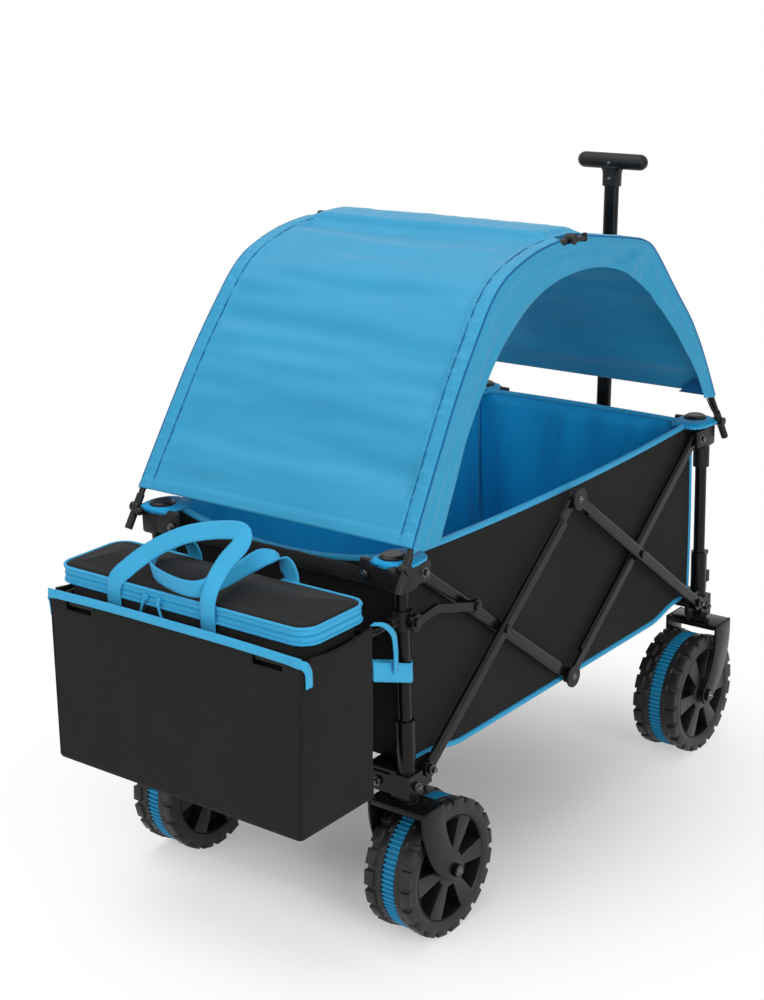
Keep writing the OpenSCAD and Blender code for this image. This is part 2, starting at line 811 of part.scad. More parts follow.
// Rim barrel with a windowed web near the outer side and a hub
module rim() {
  rim_r = wheel_r - lug_h - tyre_depth - run_clear;
  barrel_t = web_t / 2;
  half = wheel_w / 2;
  web_z = half - web_inset - web_t;
  window_share = 0.62;
  color(plastic_black) difference() {
    union() {
      translate([0, 0, -half + web_inset / 2]) cylinder(h = wheel_w - web_inset, r = rim_r);
      translate([0, 0, -half + run_clear]) cylinder(h = wheel_w - web_inset / 2, d = hub_d);
    }
    translate([0, 0, web_z + web_t]) linear_extrude(half) difference() {
      circle(r = rim_r - barrel_t);
      circle(d = hub_d);
    }
    translate([0, 0, -half - over]) linear_extrude(web_z + half + over) difference() {
      circle(r = rim_r - barrel_t);
      circle(d = hub_d);
    }
    translate([0, 0, web_z - over]) linear_extrude(web_t + 2 * over)
      for (i = [0 : window_count - 1]) rotate(i * 360 / window_count)
        window(rim_r - 2 * barrel_t, window_share);
    translate([0, 0, -wheel_w]) cylinder(h = 2 * wheel_w, d = axle_d + 2 * run_clear);
  }
}

// Trapezoid window of the spoked web
module window(reach, window_share) {
  a = 180 / window_count * window_share;
  near = hub_d / 2 + web_t / 2;
  polygon([[near * cos(a), near * sin(a)], [reach * cos(a), reach * sin(a)], [reach, 0],
           [reach * cos(a), -reach * sin(a)], [near * cos(a), -near * sin(a)]]);
}

module wheel_part(kind, name) {
  front = name == "front_right" || name == "front_left";
  right = name == "rear_right" || name == "front_right";
  on_axle(front, right) {
    if (kind == "tyre") tyre();
    if (kind == "band") band();
    if (kind == "rim") rim();
  }
}

// Forks

// Folded plate fork over a rear left wheel
module fork() {
  half = wheel_w / 2 + fork_gap;
  leg_x1 = -post_x + crown_l * (1 - crown_share);
  leg_x0 = -post_x - crown_l * crown_share;
  color(steel_black) {
    difference() {
      union() {
        for (y = [post_y - half - fork_t, post_y + half]) translate([0, y + fork_t, 0]) rotate([90, 0, 0])
          linear_extrude(fork_t) {
            polygon([[leg_x0, crown_z + fork_t], [leg_x0, crown_z - fork_end_r],
                     [-axle_x - fork_end_r, wheel_r], [-axle_x + fork_end_r, wheel_r],
                     [leg_x1, crown_z - fork_end_r], [leg_x1, crown_z + fork_t]]);
            translate([-axle_x, wheel_r]) circle(r = fork_end_r);
          }
      }
      y_rod(-axle_x, wheel_r, post_y - half - fork_t - over, post_y + half + fork_t + over,
            axle_d + 2 * run_clear);
    }
    box([leg_x0, post_y - half - fork_t, crown_z], [leg_x1, post_y + half + fork_t, crown_z + fork_t]);
    translate([-post_x, post_y, crown_z + fork_t]) cylinder(h = stem_h - gap, d = 2 * low_block);
    translate([-post_x, post_y, crown_z + fork_t])
      cylinder(h = stem_h + low_block_h - 2 * ledge_t, d = stem_d);
  }
}

module rear_forks() {
  both_sides() fork();
}

module fork_front_left() {
  at_front() fork();
}

module fork_front_right() {
  mirror([0, 1, 0]) at_front() fork();
}

// Axle bolt of a rear left wheel with a nut on each side
module axle() {
  half = wheel_w / 2 + fork_gap + fork_t;
  color(steel_black) {
    y_rod(-axle_x, wheel_r, post_y - half, post_y + half, axle_d);
    y_rod(-axle_x, wheel_r, post_y + half, post_y + half + plate_t, axle_d * 2);
    y_rod(-axle_x, wheel_r, post_y - half - plate_t, post_y - half, axle_d * 2);
  }
}

module rear_axles() {
  both_sides() axle();
}

module axle_front_left() {
  at_front() axle();
}

module axle_front_right() {
  mirror([0, 1, 0]) at_front() axle();
}

// Pull handle

// Clevis clamped on the front cross tube
module handle_bracket() {
  half = outer_w / 2 + gap;
  saddle = cross_d / 2 + plate_t;
  color(steel_black) {
    difference() {
      box([post_x - low_block + plate_t, -half - ear_t, cross_z - saddle],
          [handle_x - outer_t / 2 - plate_t, half + ear_t, cross_z + saddle]);
      y_rod(post_x, cross_z, -half - ear_t - over, half + ear_t + over, cross_d + 2 * run_clear);
    }
    both_sides() {
      box([post_x + saddle, half, cross_z - saddle], [handle_x, half + ear_t, cross_z + saddle]);
      y_rod(handle_x, cross_z, half, half + ear_t, 2 * saddle);
    }
    y_rod(handle_x, cross_z, -half - ear_t - head_t, half + ear_t + head_t, handle_pin_d);
  }
}

// Puts a handle piece drawn along +Z from the pivot in its parked lean
module on_handle() {
  translate([handle_x, 0, cross_z]) rotate([0, handle_lean, 0]) children();
}

// Fixed outer tube with the pivot eye
module handle_tube() {
  color(steel_black) on_handle() difference() {
    union() {
      linear_extrude(outer_l) rotate(90) oval(outer_w, outer_t);
      y_rod(0, 0, -outer_w / 2, outer_w / 2, outer_t);
    }
    translate([0, 0, outer_t]) linear_extrude(outer_l) rotate(90)
      oval(bar_w + 2 * run_clear, bar_t + 2 * run_clear);
    y_rod(0, 0, -outer_w, outer_w, handle_pin_d + 2 * run_clear);
  }
}

// Sliding tube
module handle_bar() {
  color(steel_black) on_handle() translate([0, 0, outer_l - bar_hold])
    linear_extrude(handle_l - socket_l - outer_l + bar_hold + plate_t) rotate(90) oval(bar_w, bar_t);
}

// T-grip with its socket
module handle_grip() {
  straight = grip_l - grip_d / 2;
  hub_half = bar_w / 2 + plate_t;
  color(plastic_black) on_handle() {
    difference() {
      translate([0, 0, handle_l - socket_l]) linear_extrude(socket_l) rotate(90)
        oval(bar_w + 2 * plate_t, bar_t + plate_t);
      translate([0, 0, handle_l - socket_l - over]) linear_extrude(plate_t + over + run_clear) rotate(90)
        oval(bar_w + 2 * run_clear, bar_t + 2 * run_clear);
    }
    y_rod(0, handle_l, -hub_half, hub_half, grip_d + 2 * grip_hub_t);
    both_sides() y_rod(0, handle_l, hub_half, straight / 2, grip_d);
    both_sides() translate([0, straight / 2, handle_l]) rotate([-90, 0, 0])
      cylinder(h = grip_d / 4, d1 = grip_d, d2 = grip_d / 2);
  }
}

// Canopy

// Point of the rear pole line, moved outwards: share runs over leg, elbow and top
function leg_dir() = [cos(leg_a), sin(leg_a)];
function top_dir() = [cos(top_a), sin(top_a)];
function elbow_mid() = [-elbow_x, elbow_z] - bend_l * leg_dir() + elbow_r * [sin(leg_a), -cos(leg_a)];
function leg_at(z, out) =
  [-pole_foot_x + (z - pole_foot_z) / tan(leg_a), z] + out * [-sin(leg_a), cos(leg_a)];
function ridge_at(out, back) = [0, ridge_z] - back * top_dir() + out * [-sin(top_a), cos(top_a)];
function pole_line(z, out, back) = concat(
  [leg_at(z, out)],
  [for (i = [0 : elbow_steps]) let (a = 90 + leg_a - i * (leg_a - top_a) / elbow_steps)
    elbow_mid() + (elbow_r + out) * [cos(a), sin(a)]],
  [ridge_at(out, back)]);
function flip(points) = [for (i = [len(points) - 1 : -1 : 0]) points[i]];
function mirrored(points) = [for (p = points) [-p[0], p[1]]];

// Leans a left-hand piece in about its pole's foot
module leaning() {
  translate([0, pole_y, pole_foot_z]) rotate([lean_a, 0, 0]) translate([0, -pole_y, -pole_foot_z]) children();
}

// Rear half of one pole with its foot clip, pivot pin and ridge knuckle
module half_pole(knuckle_y, with_pin) {
  leg_l = norm([elbow_x - pole_foot_x, elbow_z - pole_foot_z]) - bend_l;
  top_l = norm([elbow_x, ridge_z - elbow_z]) - bend_l;
  leaning() {
    translate([-pole_foot_x, pole_y, pole_foot_z]) rotate([0, 90 - leg_a, 0])
      translate([0, 0, -peg_l]) {
        cylinder(h = leg_l + peg_l, d = pole_d);
        translate([0, 0, leg_l + peg_l - ferrule_l / 2]) cylinder(h = ferrule_l, d = pole_d + 2 * ferrule_t);
      }
    translate([elbow_mid()[0], pole_y, elbow_mid()[1]]) rotate([90, 0, 0]) rotate([0, 0, 90 + top_a])
      rotate_extrude(angle = leg_a - top_a) translate([elbow_r, 0]) circle(d = pole_d);
    translate([-elbow_x + bend_l * cos(top_a), pole_y, elbow_z + bend_l * sin(top_a)])
      rotate([0, 90 - top_a, 0]) {
        cylinder(h = top_l - knuckle_d / 3, d = pole_d);
        translate([0, 0, -ferrule_l / 2]) cylinder(h = ferrule_l, d = pole_d + 2 * ferrule_t);
      }
  }
  difference() {
    union() {
      y_rod(0, ridge_z, knuckle_y, knuckle_y + knuckle_t, knuckle_d / 2);
      translate([-knuckle_d * cos(top_a), 0, ridge_z - knuckle_d * sin(top_a)]) rotate([0, -top_a, 0])
        box([0, knuckle_y, -pole_d / 2], [knuckle_d, knuckle_y + knuckle_t, pole_d / 2]);
    }
    if (!with_pin)
      y_rod(0, ridge_z, knuckle_y - over, knuckle_y + knuckle_t + over, ridge_pin_d + 2 * run_clear);
  }
  if (with_pin) y_rod(0, ridge_z, knuckle_y, ridge_y + knuckle_t + gap, ridge_pin_d);
  y_rod(-pole_foot_x, pole_foot_z, clip_y, pole_y + pole_d / 2 + clip_t / 2, clip_d);
  y_rod(-pole_foot_x, pole_foot_z, post_y + gap, clip_y, foot_pin_d);
}

module canopy_poles_rear() {
  color(steel_black) both_sides() half_pole(ridge_y - knuckle_t - gap / 2, true);
}

module canopy_poles_front() {
  color(steel_black) at_front() both_sides() half_pole(ridge_y + gap / 2, false);
}

// Rear half of the roof cloth, laid over the poles, as wide as they stand apart at each height
module roof_half(hem_rise) {
  low = pole_d / 2 + ferrule_t + gap;
  width = 2 * pole_y + pole_d;
  hem_z = pole_foot_z + hem_rise;
  top_z = ridge_z + low + elbow_r;
  half = function(z) (width / 2) - pole_lean * (z - pole_foot_z) / ridge_rise;
  color(cloth_blue) difference() {
    intersection() {
      translate([0, width / 2, 0]) rotate([90, 0, 0]) linear_extrude(width)
        polygon(concat(pole_line(hem_z, low + cloth_t, gap), flip(pole_line(hem_z, low, gap))));
      translate([-2 * pole_foot_x, 0, 0]) rotate([90, 0, 90]) linear_extrude(2 * pole_foot_x)
        polygon([[-half(pole_foot_z), pole_foot_z], [half(pole_foot_z), pole_foot_z],
                 [half(top_z), top_z], [-half(top_z), top_z]]);
    }
    both_sides() y_rod(0, ridge_z, ridge_y - knuckle_t - 2 * gap, ridge_y + pole_d, knuckle_d / 2 + 2 * gap);
  }
}

module canopy_roof_rear() {
  roof_half(rear_hem_rise);
}

module canopy_roof_front() {
  at_front() roof_half(front_hem_rise);
}

// Point of the arch cut in the side cloth
function arch_at(t) = let (foot = rim_z + arch_foot, c = cos(t), s = sin(t))
  [-sign(c) * arch_x * pow(abs(c), 2 / arch_power), foot + (arch_z - foot) * pow(abs(s), 2 / arch_power)];

// Side cloth hung from the poles, with the arched side opening
module canopy_valances() {
  out = -pole_d / 2 - ferrule_t - gap;
  foot_z = rim_z + cap_d;
  rear_line = pole_line(foot_z, out, knuckle_d);
  arch = [for (i = [1 : arch_steps - 1]) arch_at(180 * i / arch_steps)];
  color(cloth_blue) both_sides() leaning() translate([0, pole_y + cloth_t / 2, 0]) rotate([90, 0, 0])
    linear_extrude(cloth_t)
      polygon(concat(rear_line, flip(mirrored(rear_line)), flip([for (p = arch) if (p[1] > foot_z) p])));
}

// All pieces in place

module placed() {
  translate([frame_shift, 0, 0]) children();
}

placed() rear_brackets();
placed() rear_base_tubes();
placed() rear_forks();
placed() rear_axles();
placed() links_a();
placed() links_b();
placed() links_c();
placed() links_d();
placed() pins_a();
placed() pins_c();
placed() rear_hoop();
placed() rear_top_brackets();
placed() rear_caps();
placed() rail_collars();
placed() basket_rail();
placed() basket();
placed() basket_straps();
placed() tub_rear_wall();
placed() tub_side_right();
placed() tub_side_left();
placed() tub_floor();
placed() rail_struts();
placed() front_hoop();
placed() front_top_brackets();
placed() front_caps();
placed() tub_front_wall();
placed() front_brackets();
placed() front_base_tubes();
placed() handle_bracket();
placed() latch_right();
placed() latch_left();
placed() fork_front_right();
placed() fork_front_left();
placed() axle_front_right();
placed() axle_front_left();
for (name = wheel_names) {
  placed() wheel_part("tyre", name);
  placed() wheel_part("band", name);
  placed() wheel_part("rim", name);
}
placed() handle_tube();
placed() handle_bar();
placed() handle_grip();
placed() canopy_poles_rear();
placed() canopy_poles_front();
placed() canopy_roof_rear();
placed() canopy_roof_front();
placed() canopy_valances();
placed() cooler_bag();
placed() cooler_lid();
placed() cooler_zip();
placed() carry_handles();
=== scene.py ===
"""Looks of a folding stroller wagon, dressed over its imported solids.

Sizes are in millimetres from the middle of the wheelbase, with +X towards the pull handle,
and at() turns them into metres in the row frame.
"""

import json
import logging
import math
from bisect import bisect_left
from collections.abc import Callable, Iterable, Sequence
from dataclasses import dataclass, field
from enum import Enum

import bmesh
import bpy
from mathutils import Matrix, Vector, noise

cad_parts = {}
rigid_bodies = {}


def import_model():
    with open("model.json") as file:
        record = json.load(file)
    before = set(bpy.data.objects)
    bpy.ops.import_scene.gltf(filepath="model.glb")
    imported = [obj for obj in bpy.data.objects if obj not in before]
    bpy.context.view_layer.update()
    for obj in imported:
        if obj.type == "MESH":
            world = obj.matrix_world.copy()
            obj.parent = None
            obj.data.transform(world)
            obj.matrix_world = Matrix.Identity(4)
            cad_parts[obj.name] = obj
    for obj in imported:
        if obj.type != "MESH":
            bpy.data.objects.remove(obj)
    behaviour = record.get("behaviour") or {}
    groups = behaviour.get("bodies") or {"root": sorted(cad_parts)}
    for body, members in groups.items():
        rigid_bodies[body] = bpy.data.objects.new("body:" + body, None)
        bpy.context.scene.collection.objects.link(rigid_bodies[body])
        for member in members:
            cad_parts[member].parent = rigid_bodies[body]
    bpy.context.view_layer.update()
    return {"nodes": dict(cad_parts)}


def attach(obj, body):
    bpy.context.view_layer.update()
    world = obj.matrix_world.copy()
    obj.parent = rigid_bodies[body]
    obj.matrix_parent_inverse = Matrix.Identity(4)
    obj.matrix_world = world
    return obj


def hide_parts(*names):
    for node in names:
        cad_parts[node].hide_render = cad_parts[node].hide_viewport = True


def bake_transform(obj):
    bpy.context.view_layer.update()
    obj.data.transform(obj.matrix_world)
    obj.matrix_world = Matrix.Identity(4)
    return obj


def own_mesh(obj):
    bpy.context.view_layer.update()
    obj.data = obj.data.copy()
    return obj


for leftover in list(bpy.data.objects):
    bpy.data.objects.remove(leftover)
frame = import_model()
LOG = logging.getLogger("wagon")

# The row frame's middle lies this far behind the middle of the wheelbase, in millimetres.
SHIFT = 58.44
MERGE = 1e-5
Tree = bpy.types.NodeTree
Node = bpy.types.Node
Socket = bpy.types.NodeSocket
Thing = bpy.types.Object
Shape = bmesh.types.BMesh
Vert = bmesh.types.BMVert
Edge = bmesh.types.BMEdge
Pair = tuple[float, float]
Triple = tuple[float, float, float]
Place = Callable[[float, float], Vector]
Way = Callable[[float], Vector]


class Signed(Enum):
    """A direction of the wagon; the value is the sign along its axis."""

    @property
    def word(self) -> str:
        """Gives the word that names of pieces and bodies carry."""
        return self.name.lower()


class Side(Signed):
    """Which long side of the wagon a piece is on; the value is the sign of its Y."""

    RIGHT = -1
    LEFT = 1


class End(Signed):
    """Which end of the wagon a piece is at; the value is the sign of its X."""

    REAR = -1
    FRONT = 1


class BoltHead(Enum):
    """Kinds of bolt head on the frame; the value is the number of sides."""

    HEX = 6
    DOME = 20


def at(x: float, y: float, z: float) -> Vector:
    """Turns a place in millimetres into metres in the row frame."""
    return Vector((x + SHIFT, y, z)) / 1000


def linear(colour: str) -> tuple[float, float, float, float]:
    """Turns an sRGB hex colour into linear values.

    Args:
        colour: six hex digits after a hash sign.

    Returns:
        Red, green, blue and alpha, from 0 to 1.
    """
    parts = [int(colour[i:i + 2], 16) / 255 for i in (1, 3, 5)]
    r, g, b = (c / 12.92 if c <= 0.04045 else ((c + 0.055) / 1.055) ** 2.4 for c in parts)
    return r, g, b, 1.0


def put(tree: Tree, kind: str, inputs: dict | None = None, **settings: object) -> Node:
    """Adds one node with its settings, values and links.

    Args:
        tree: the node tree that gets it.
        kind: the node's type name.
        inputs: a value or an output socket for each input that is set.
        settings: attributes of the node.

    Returns:
        The new node.
    """
    node = tree.nodes.new(kind)
    for key, value in settings.items():
        setattr(node, key, value)
    for key, value in (inputs or {}).items():
        if isinstance(value, Socket):
            tree.links.new(value, node.inputs[key])
        else:
            node.inputs[key].default_value = value
    return node


@dataclass(frozen=True)
class Finish:
    """A material and the record's slot that it belongs to."""

    name: str
    slot: str
    colour: str
    roughness: float
    specular: float = 0.5

    def make(self) -> bpy.types.Material:
        """Makes the material with its pattern.

        Returns:
            The finished material.
        """
        material = bpy.data.materials.new(self.name)
        material.use_nodes = True
        tree = material.node_tree
        shader = tree.nodes["Principled BSDF"]
        shader.inputs["Base Color"].default_value = linear(self.colour)
        shader.inputs["Roughness"].default_value = self.roughness
        shader.inputs["Specular IOR Level"].default_value = self.specular
        self.pattern(tree, shader)
        return material

    def pattern(self, tree: Tree, shader: Node) -> None:
        """Adds what the surface shows; a plain finish adds nothing.

        Args:
            tree: the material's nodes.
            shader: its Principled node.
        """


@dataclass(frozen=True)
class Woven(Finish):
    """Woven polyester: crossing threads, soft sheen and a slight cloudiness in the dye."""

    shade: str = "#000000"
    thread_mm: float = 2.4
    cloud_mm: float = 120.0
    sheen: float = 0.25
    relief: float = 0.25

    def pattern(self, tree: Tree, shader: Node) -> None:
        """Draws the weave on the piece's own UV map, which is in metres.

        Args:
            tree: the material's nodes.
            shader: its Principled node.
        """
        shader.inputs["Sheen Weight"].default_value = self.sheen
        shader.inputs["Sheen Roughness"].default_value = 0.5
        place = put(tree, "ShaderNodeTexCoord")
        # A band texture's period is pi / 10 over its scale; threads are drawn coarse, to show.
        scale = math.pi / 10 / (self.thread_mm / 1000)
        threads = {"Vector": place.outputs["UV"], "Scale": scale, "Distortion": 0.6, "Detail": 1.0}
        warp, weft = (put(tree, "ShaderNodeTexWave", threads, bands_direction=way) for way in "XY")
        weave = put(tree, "ShaderNodeMath", {0: warp.outputs["Fac"], 1: weft.outputs["Fac"]},
                    operation="MAXIMUM")
        cloud = put(tree, "ShaderNodeTexNoise",
                    {"Vector": place.outputs["Object"], "Scale": 1000 / self.cloud_mm,
                     "Detail": 4.0})
        mix = put(tree, "ShaderNodeMath", {0: weave.outputs[0], 1: cloud.outputs["Fac"]},
                  operation="MULTIPLY")
        tint = put(tree, "ShaderNodeMix",
                   {"Factor": mix.outputs[0], 6: linear(self.shade), 7: linear(self.colour)},
                   data_type="RGBA")
        tree.links.new(tint.outputs[2], shader.inputs["Base Color"])
        bump = put(tree, "ShaderNodeBump",
                   {"Height": weave.outputs[0], "Strength": self.relief, "Distance": 0.0004})
        tree.links.new(bump.outputs[0], shader.inputs["Normal"])


@dataclass(frozen=True)
class Coated(Finish):
    """Powder-coated or moulded surface: fine peel, uneven gloss and softened edges."""

    grain_mm: float = 1.6
    peel: float = 0.08
    edge_mm: float = 0.9

    def pattern(self, tree: Tree, shader: Node) -> None:
        """Draws peel and gloss changes on Object coordinates and rounds the edges' shading.

        Args:
            tree: the material's nodes.
            shader: its Principled node.
        """
        place = put(tree, "ShaderNodeTexCoord")
        edge = put(tree, "ShaderNodeBevel", {"Radius": self.edge_mm / 1000}, samples=6)
        grain = put(tree, "ShaderNodeTexNoise",
                    {"Vector": place.outputs["Object"], "Scale": 1000 / self.grain_mm,
                     "Detail": 2.0})
        bump = put(tree, "ShaderNodeBump", {"Height": grain.outputs["Fac"], "Strength": self.peel,
                                           "Distance": 0.0003, "Normal": edge.outputs[0]})
        tree.links.new(bump.outputs[0], shader.inputs["Normal"])
        smear = put(tree, "ShaderNodeTexNoise",
                    {"Vector": place.outputs["Object"], "Scale": 18.0, "Detail": 5.0})
        gloss = put(tree, "ShaderNodeMapRange",
                    {"Value": smear.outputs["Fac"], "From Min": 0.3, "From Max": 0.7,
                     "To Min": self.roughness - 0.07, "To Max": self.roughness + 0.09})
        tree.links.new(gloss.outputs[0], shader.inputs["Roughness"])


@dataclass(frozen=True)
class Metal(Coated):
    """Blackened steel of bolts: dark and smooth, a little cloudy."""

    def pattern(self, tree: Tree, shader: Node) -> None:
        """Adds the metal to the coat's pattern.

        Args:
            tree: the material's nodes.
            shader: its Principled node.
        """
        super().pattern(tree, shader)
        shader.inputs["Metallic"].default_value = 1.0


class Palette:
    """Every finish of the wagon, made once."""

    # Powder coat on tube and folded plate: near black, satin, with softened edges.
    STEEL = Coated("powder_coated_steel", "black_steel", "#0d0c0a", 0.2, 0.2)
    # Blackened bolts: dark, with a small bright point where the light falls.
    BOLT = Metal("blackened_steel_bolts", "bolt_steel", "#5c5c5f", 0.17)
    # Moulded nylon: matt black with a fine grain.
    NYLON = Coated("moulded_nylon", "black_plastic", "#111112", 0.42, 0.24, grain_mm=0.9, peel=0.15)
    # Foam-rubber tread: dull charcoal.
    RUBBER = Coated("moulded_tyre_rubber", "tyre_rubber", "#19181a", 0.44, 0.36, grain_mm=1.2,
                    peel=0.25, edge_mm=1.6)
    # Moulded wheel centre: charcoal, a touch smoother than the tread.
    RIM = Coated("moulded_wheel_centre", "rim_plastic", "#100f11", 0.4, 0.36, grain_mm=1.0,
                 peel=0.12, edge_mm=1.2)
    # Dyed rubber band in the tread.
    BAND = Coated("dyed_rubber_band", "blue_band", "#1f86b0", 0.5, 0.3, grain_mm=1.4, peel=0.1,
                  edge_mm=0.4)
    # Black oxford polyester with a dull face.
    BLACK_CLOTH = Woven("black_oxford_polyester", "black_cloth", "#232324", 0.85, 0.12,
                        shade="#19191a", sheen=0.03)
    # Tub lining: the weave of the outer cloth, dyed blue.
    LINING = Woven("blue_lining_polyester", "blue_cloth", "#0c9ad0", 0.6, 0.2, shade="#098cc2",
                   sheen=0.05)
    # Canopy taffeta: bright blue, fine threads, soft gloss.
    CANOPY = Woven("blue_canopy_taffeta", "blue_cloth", "#2f95bd", 0.5, 0.24, shade="#2688b0",
                   thread_mm=2.0, sheen=0.05, relief=0.15)
    # Seam cords, stitches and corner patches: the same cloth in a deeper navy. On the seam cords
    # the navy is painted shade, standing in for the shadow gap between the sleeve and the side
    # cloth.
    PIPING = Woven("navy_piping_polyester", "blue_cloth", "#12639b", 0.7, 0.15, shade="#0e5588",
                   sheen=0.05)
    # Polypropylene webbing: thick crosswise ribs.
    WEBBING = Woven("blue_polypropylene_webbing", "blue_webbing", "#3aa5d2", 0.5, 0.2,
                    shade="#2e97c4", thread_mm=3.2, cloud_mm=60.0, sheen=0.06, relief=0.6)

    def __init__(self) -> None:
        """Makes no material until a piece asks for it."""
        self.made: dict[str, bpy.types.Material] = {}

    def of(self, finish: Finish) -> bpy.types.Material:
        """Gives the material of a finish, making it the first time.

        Args:
            finish: the finish.

        Returns:
            Its material.
        """
        if finish.name not in self.made:
            self.made[finish.name] = finish.make()
        return self.made[finish.name]


class Route:
    """A line through points, walked by share of its length."""

    # Samples in each span between two points.
    STEPS = 14

    def __init__(self, points: Sequence[Vector], smooth: bool = True) -> None:
        """Samples the line.

        Args:
            points: the points it goes through.
            smooth: whether it bends smoothly between them.
        """
        self.samples = self.rounded(points) if smooth else [p.copy() for p in points]
        self.walked = [0.0]
        for a, b in zip(self.samples, self.samples[1:]):
            self.walked.append(self.walked[-1] + (b - a).length)
        self.length = self.walked[-1]

    @classmethod
    def rounded(cls, points: Sequence[Vector]) -> list[Vector]:
        """Rounds a chain of points with Catmull-Rom spans.

        Args:
            points: the chain.

        Returns:
            The samples, ends included.
        """
        ends = [points[0] * 2 - points[1], *points, points[-1] * 2 - points[-2]]
        found = []
        for a, b, c, d in zip(ends, ends[1:], ends[2:], ends[3:]):
            for i in range(cls.STEPS):
                t = i / cls.STEPS
                found.append(0.5 * (2 * b + (c - a) * t + (2 * a - 5 * b + 4 * c - d) * t ** 2
                                    + (3 * b - a - 3 * c + d) * t ** 3))
        return [*found, points[-1].copy()]

    def at(self, share: float) -> Vector:
        """Gives the place at a share of the length.

        Args:
            share: from 0 to 1; what lies beyond is held at the ends.

        Returns:
            The place, in the points' own units.
        """
        want = min(max(share, 0.0), 1.0) * self.length
        i = min(max(bisect_left(self.walked, want), 1), len(self.walked) - 1)
        span = max(self.walked[i] - self.walked[i - 1], 1e-9)
        return self.samples[i - 1].lerp(self.samples[i], (want - self.walked[i - 1]) / span)

    def even(self, count: int, last: float = 1.0) -> list[Vector]:
        """Gives count + 1 places at even shares from the start to a last share."""
        return [self.at(last * i / count) for i in range(count + 1)]

    def along(self, share: float) -> Vector:
        """Gives the unit direction of travel at a share of the length."""
        near = 0.004
        return (self.at(share + near) - self.at(share - near)).normalized()


def only(geom: Iterable[object], kind: type) -> list:
    """Gives the parts of one kind from what an operator made."""
    return [part for part in geom if isinstance(part, kind)]


def rim_of(verts: Iterable[Vert]) -> list[Edge]:
    """Gives the edges that meet at the vertices, in a steady order."""
    return list(dict.fromkeys(edge for vert in verts for edge in vert.link_edges))


def soften(bm: Shape, edges: Sequence[Edge], radius: float, segments: int = 2) -> dict:
    """Rounds edges.

    Args:
        bm: the mesh that they are in.
        edges: the edges.
        radius: the rounding in millimetres.
        segments: faces around each edge.

    Returns:
        What the operator made.
    """
    return bmesh.ops.bevel(bm, geom=edges, offset=radius / 1000, offset_type="OFFSET",
                           segments=segments, profile=0.5, affect="EDGES", material=-1,
                           clamp_overlap=True)


def drum(bm: Shape, here: Matrix, radii: Pair, depth: float, sides: int) -> None:
    """Adds a capped cylinder or cone along the Z of its place.

    Args:
        bm: the mesh that gets it.
        here: the place of its middle, in metres.
        radii: the radius below and above, in millimetres.
        depth: its length in millimetres.
        sides: faces around.
    """
    bmesh.ops.create_cone(bm, cap_ends=True, segments=sides, radius1=radii[0] / 1000,
                          radius2=radii[1] / 1000, depth=depth / 1000, matrix=here)


def weld(bm: Shape) -> None:
    """Joins the two edges of a sheet that closes on itself."""
    bmesh.ops.remove_doubles(bm, verts=bm.verts, dist=MERGE)


def cloth_grid(columns: int, rows: int, size: Pair, place: Place) -> Shape:
    """Makes a sheet from a flat grid, with a UV map in metres of the flat cut.

    Args:
        columns: faces along u.
        rows: faces along v.
        size: the flat cut along u and v, in millimetres.
        place: gives the place of each (u, v) from 0 to 1.

    Returns:
        The shaped sheet.
    """
    bm = bmesh.new()
    uv = bm.loops.layers.uv.verify()
    bmesh.ops.create_grid(bm, x_segments=columns, y_segments=rows, size=0.5)
    for face in bm.faces:
        for loop in face.loops:
            co = loop.vert.co
            loop[uv].uv = ((co.x + 0.5) * size[0] / 1000, (co.y + 0.5) * size[1] / 1000)
    for vert in bm.verts:
        vert.co = place(vert.co.x + 0.5, vert.co.y + 0.5)
    return bm


def sweep(bm: Shape, path: Sequence[Vector], radius: float, sides: int = 10) -> None:
    """Draws a round section along a path by repeated extrusion.

    Args:
        bm: the mesh that gets it.
        path: the places that the section's middle passes through, in metres.
        radius: the section's radius in millimetres.
        sides: the section's sides.
    """
    turn = (path[1] - path[0]).to_track_quat("Z", "Y")
    here = Matrix.Translation(path[0]) @ turn.to_matrix().to_4x4()
    start = bmesh.ops.create_circle(bm, cap_ends=False, segments=sides, radius=radius / 1000,
                                    matrix=here)["verts"]
    edges = rim_of(start)
    bmesh.ops.edgeloop_fill(bm, edges=edges)
    heading = (path[1] - path[0]).normalized()
    for i in range(1, len(path)):
        after = (path[min(i + 1, len(path) - 1)] - path[i - 1]).normalized()
        grown = bmesh.ops.extrude_edge_only(bm, edges=edges)["geom"]
        verts, edges = only(grown, Vert), only(grown, Edge)
        turned = heading.rotation_difference(after).to_matrix().to_4x4()
        step = Matrix.Translation(path[i]) @ turned @ Matrix.Translation(-path[i - 1])
        bmesh.ops.transform(bm, matrix=step, verts=verts)
        heading = after
    bmesh.ops.edgeloop_fill(bm, edges=edges)


def ribbon(path: Route, across: Way, width: float, columns: int, rows: int = 4) -> Shape:
    """Makes a flat strap along a path.

    Args:
        path: the strap's middle line.
        across: gives the strap's width direction at a share of the path.
        width: the strap's width in millimetres.
        columns: faces along the strap.
        rows: faces across it.

    Returns:
        The strap as a sheet.
    """
    def place(u: float, v: float) -> Vector:
        """Gives a place on the strap."""
        return path.at(u) + across(u) * ((v - 0.5) * width / 1000)

    return cloth_grid(columns, rows, (path.length * 1000, width), place)


def upright(share: float) -> Vector:
    """Gives the width direction of a strap that stands on edge all along."""
    return Vector((0.0, 0.0, 1.0))


def block(bm: Shape, low: Vector, high: Vector, rounding: float, segments: int = 2) -> None:
    """Adds a box with rounded edges between two corners.

    Args:
        bm: the mesh that gets it.
        low: the lowest corner, in metres.
        high: the highest corner, in metres.
        rounding: the edges' radius in millimetres.
        segments: faces around each edge.
    """
    made = bmesh.ops.create_cube(bm, size=1.0)["verts"]
    bmesh.ops.scale(bm, vec=high - low, verts=made)
    bmesh.ops.translate(bm, vec=(low + high) / 2, verts=made)
    soften(bm, rim_of(made), rounding, segments)


